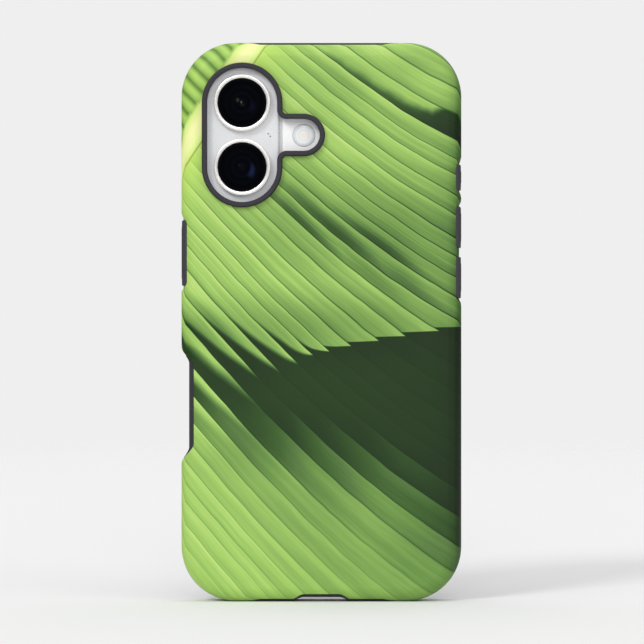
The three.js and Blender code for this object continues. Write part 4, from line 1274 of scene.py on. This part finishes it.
# %% The polished plateau, with its white lowered as painted shade
PLATEAU_FROM = PHONE_BACK - 0.2
back_sheet.data.materials.append(plateau_glass_painted_shade)
for face in back_sheet.data.polygons:
    if face.center.y / MM < PLATEAU_FROM:
        face.material_index = 1
polished = sum(face.material_index for face in back_sheet.data.polygons)
print(polished, "faces of the back glass are polished")

# %% Finishes for the CAD nodes
CAD_FINISHES = {
    anodised: ["phone_frame", "_key"],
    nylon: ["camera_module", "ear_speaker", "bottom_speaker", "socket_tongue"],
    display: ["display_panel"],
    phosphor: ["flash_led"],
    steel: [
        "rear_microphone", "_switch", "magnet_ring", "shield", "haptic_motor", "charging_socket",
        "screw",
    ],
    copper: ["charging_coil"],
    foil: ["battery"],
    board: ["logic_board"],
}
dressed = 0
for name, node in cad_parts.items():
    for finish, words in CAD_FINISHES.items():
        if any(word in name for word in words):
            for place in node.material_slots:
                place.link = "OBJECT"
                place.material = finish
            dressed += 1
print(dressed, "CAD nodes carry a finish of their own")

# %% [markdown]
# ## The floor
# The object stands on a sheet of pale paper. A curved backdrop would hide the horizon, but it
# would stand in the way of a camera behind the object. So the floor is flat, and fades out
# into the tone of the world round it.

# %% Floor
FLOOR_RADIUS, FADE_FROM, FADE_TO = 1800.0, 500.0, 1500.0
FLOOR_DROP = 0.1                 # the floor lies this far below the foot, so they don't touch
build = bmesh.new()
bmesh.ops.create_grid(build, x_segments=24, y_segments=24, size=FLOOR_RADIUS * MM)
mesh = bpy.data.meshes.new("floor")
build.to_mesh(mesh)
build.free()
floor = bpy.data.objects.new("floor", mesh)
bpy.context.scene.collection.objects.link(floor)
floor.location.z = -FLOOR_DROP * MM
paper, tree, shader = new_finish("pale_paper", Roughness=0.9, Specular_IOR_Level=0.1)
place = millimetres(tree)
pulp = add(tree, "TexNoise", named={"Vector": place, "Scale": 1 / 3.0, "Detail": 4.0})
tones = {6: linear("#f0f0f0"), 7: linear("#f2f2f2")}
tint = add(tree, "Mix", pulp, named=tones, out=2, data_type="RGBA")
tree.links.new(tint, shader.inputs["Base Color"])
far = add(tree, "VectorMath", place, out=1, operation="LENGTH")
fade = add(tree, "MapRange", far, FADE_FROM, FADE_TO, 0.0, 1.0, interpolation_type="SMOOTHSTEP")
clear = add(tree, "BsdfTransparent")
ground = add(tree, "MixShader", fade, shader.outputs[0], clear)
tree.links.new(ground, tree.nodes["Material Output"].inputs["Surface"])
mesh.materials.append(paper)
print("the floor fades out from", FADE_FROM, "to", FADE_TO, "mm")

# %% [markdown]
# ## The light
# The key light comes from the front left and above, as one broad soft box would give it. A
# weak fill from the right and a very broad front light keep the sides from going black. They
# are suns with a wide disc, because a far light falls on the case as evenly from top to foot
# as a large box does. The world is a dome that is bright above and dim at the horizon, so the
# floor lies in a soft shade next to the object. A camera ray sees the plain paper tone instead.

# %% Light
def sun(name, azimuth, elevation, strength, softness):
    """A far light. Azimuth 0 is from the camera's side, and 90 from the left."""
    lamp = bpy.data.lights.new(name, "SUN")
    lamp.energy = strength
    lamp.angle = math.radians(softness)
    made = bpy.data.objects.new(name, lamp)
    bpy.context.scene.collection.objects.link(made)
    a, e = math.radians(azimuth), math.radians(elevation)
    towards = Vector((-math.sin(a) * math.cos(e), -math.cos(a) * math.cos(e), math.sin(e)))
    made.rotation_mode = "QUATERNION"
    made.rotation_quaternion = towards.to_track_quat("Z", "Y")
    return made


for lamp in [("key", 34, 34, 1.0, 16), ("fill", -45, 10, 0.3, 30), ("front", 0, 20, 0.68, 24)]:
    sun(*lamp)
    print("sun", *lamp)

# %% World
world = bpy.data.worlds.new("studio")
bpy.context.scene.world = world
world.use_nodes = True
sky = world.node_tree
sky.nodes.clear()
towards = add(sky, "TexCoord", out=0)
rise = add(sky, "SeparateXYZ", towards, out=2)
dome = add(sky, "MapRange", rise, 0.0, 1.0, 0.06, 1.12)
dome = add(sky, "Background", named={"Color": (1, 1, 1, 1), "Strength": dome})
paper_tone = add(sky, "Background", named={"Color": linear("#efefef"), "Strength": 1.0})
seen = add(sky, "LightPath", out=0)
whole = add(sky, "MixShader", seen, dome, paper_tone)
out = sky.nodes.new("ShaderNodeOutputWorld")
sky.links.new(whole, out.inputs["Surface"])
bpy.context.scene.view_settings.view_transform = "Standard"
print(world.name, "has", len(sky.nodes), "nodes")

# %% [markdown]
# ## The camera
# A long lens, level with the middle of the case and square to its back, so that the sides
# stay hidden and the outline is true.

# %% Camera
LENS, SENSOR = 200.0, 36.0
FIELD = 175.4                    # how wide the view is at the case, mm
AIM_X, AIM_Z = 0.16, 76.2        # what the camera is square to, mm
lens = bpy.data.cameras.new("camera")
lens.lens = LENS
lens.sensor_width = SENSOR
camera = bpy.data.objects.new("camera", lens)
bpy.context.scene.collection.objects.link(camera)
camera.location = Vector((AIM_X, BACK - FIELD * LENS / SENSOR, AIM_Z)) * MM
camera.rotation_euler = (math.radians(90), 0, 0)
bpy.context.scene.camera = camera
print("camera at", [round(c, 3) for c in camera.location])
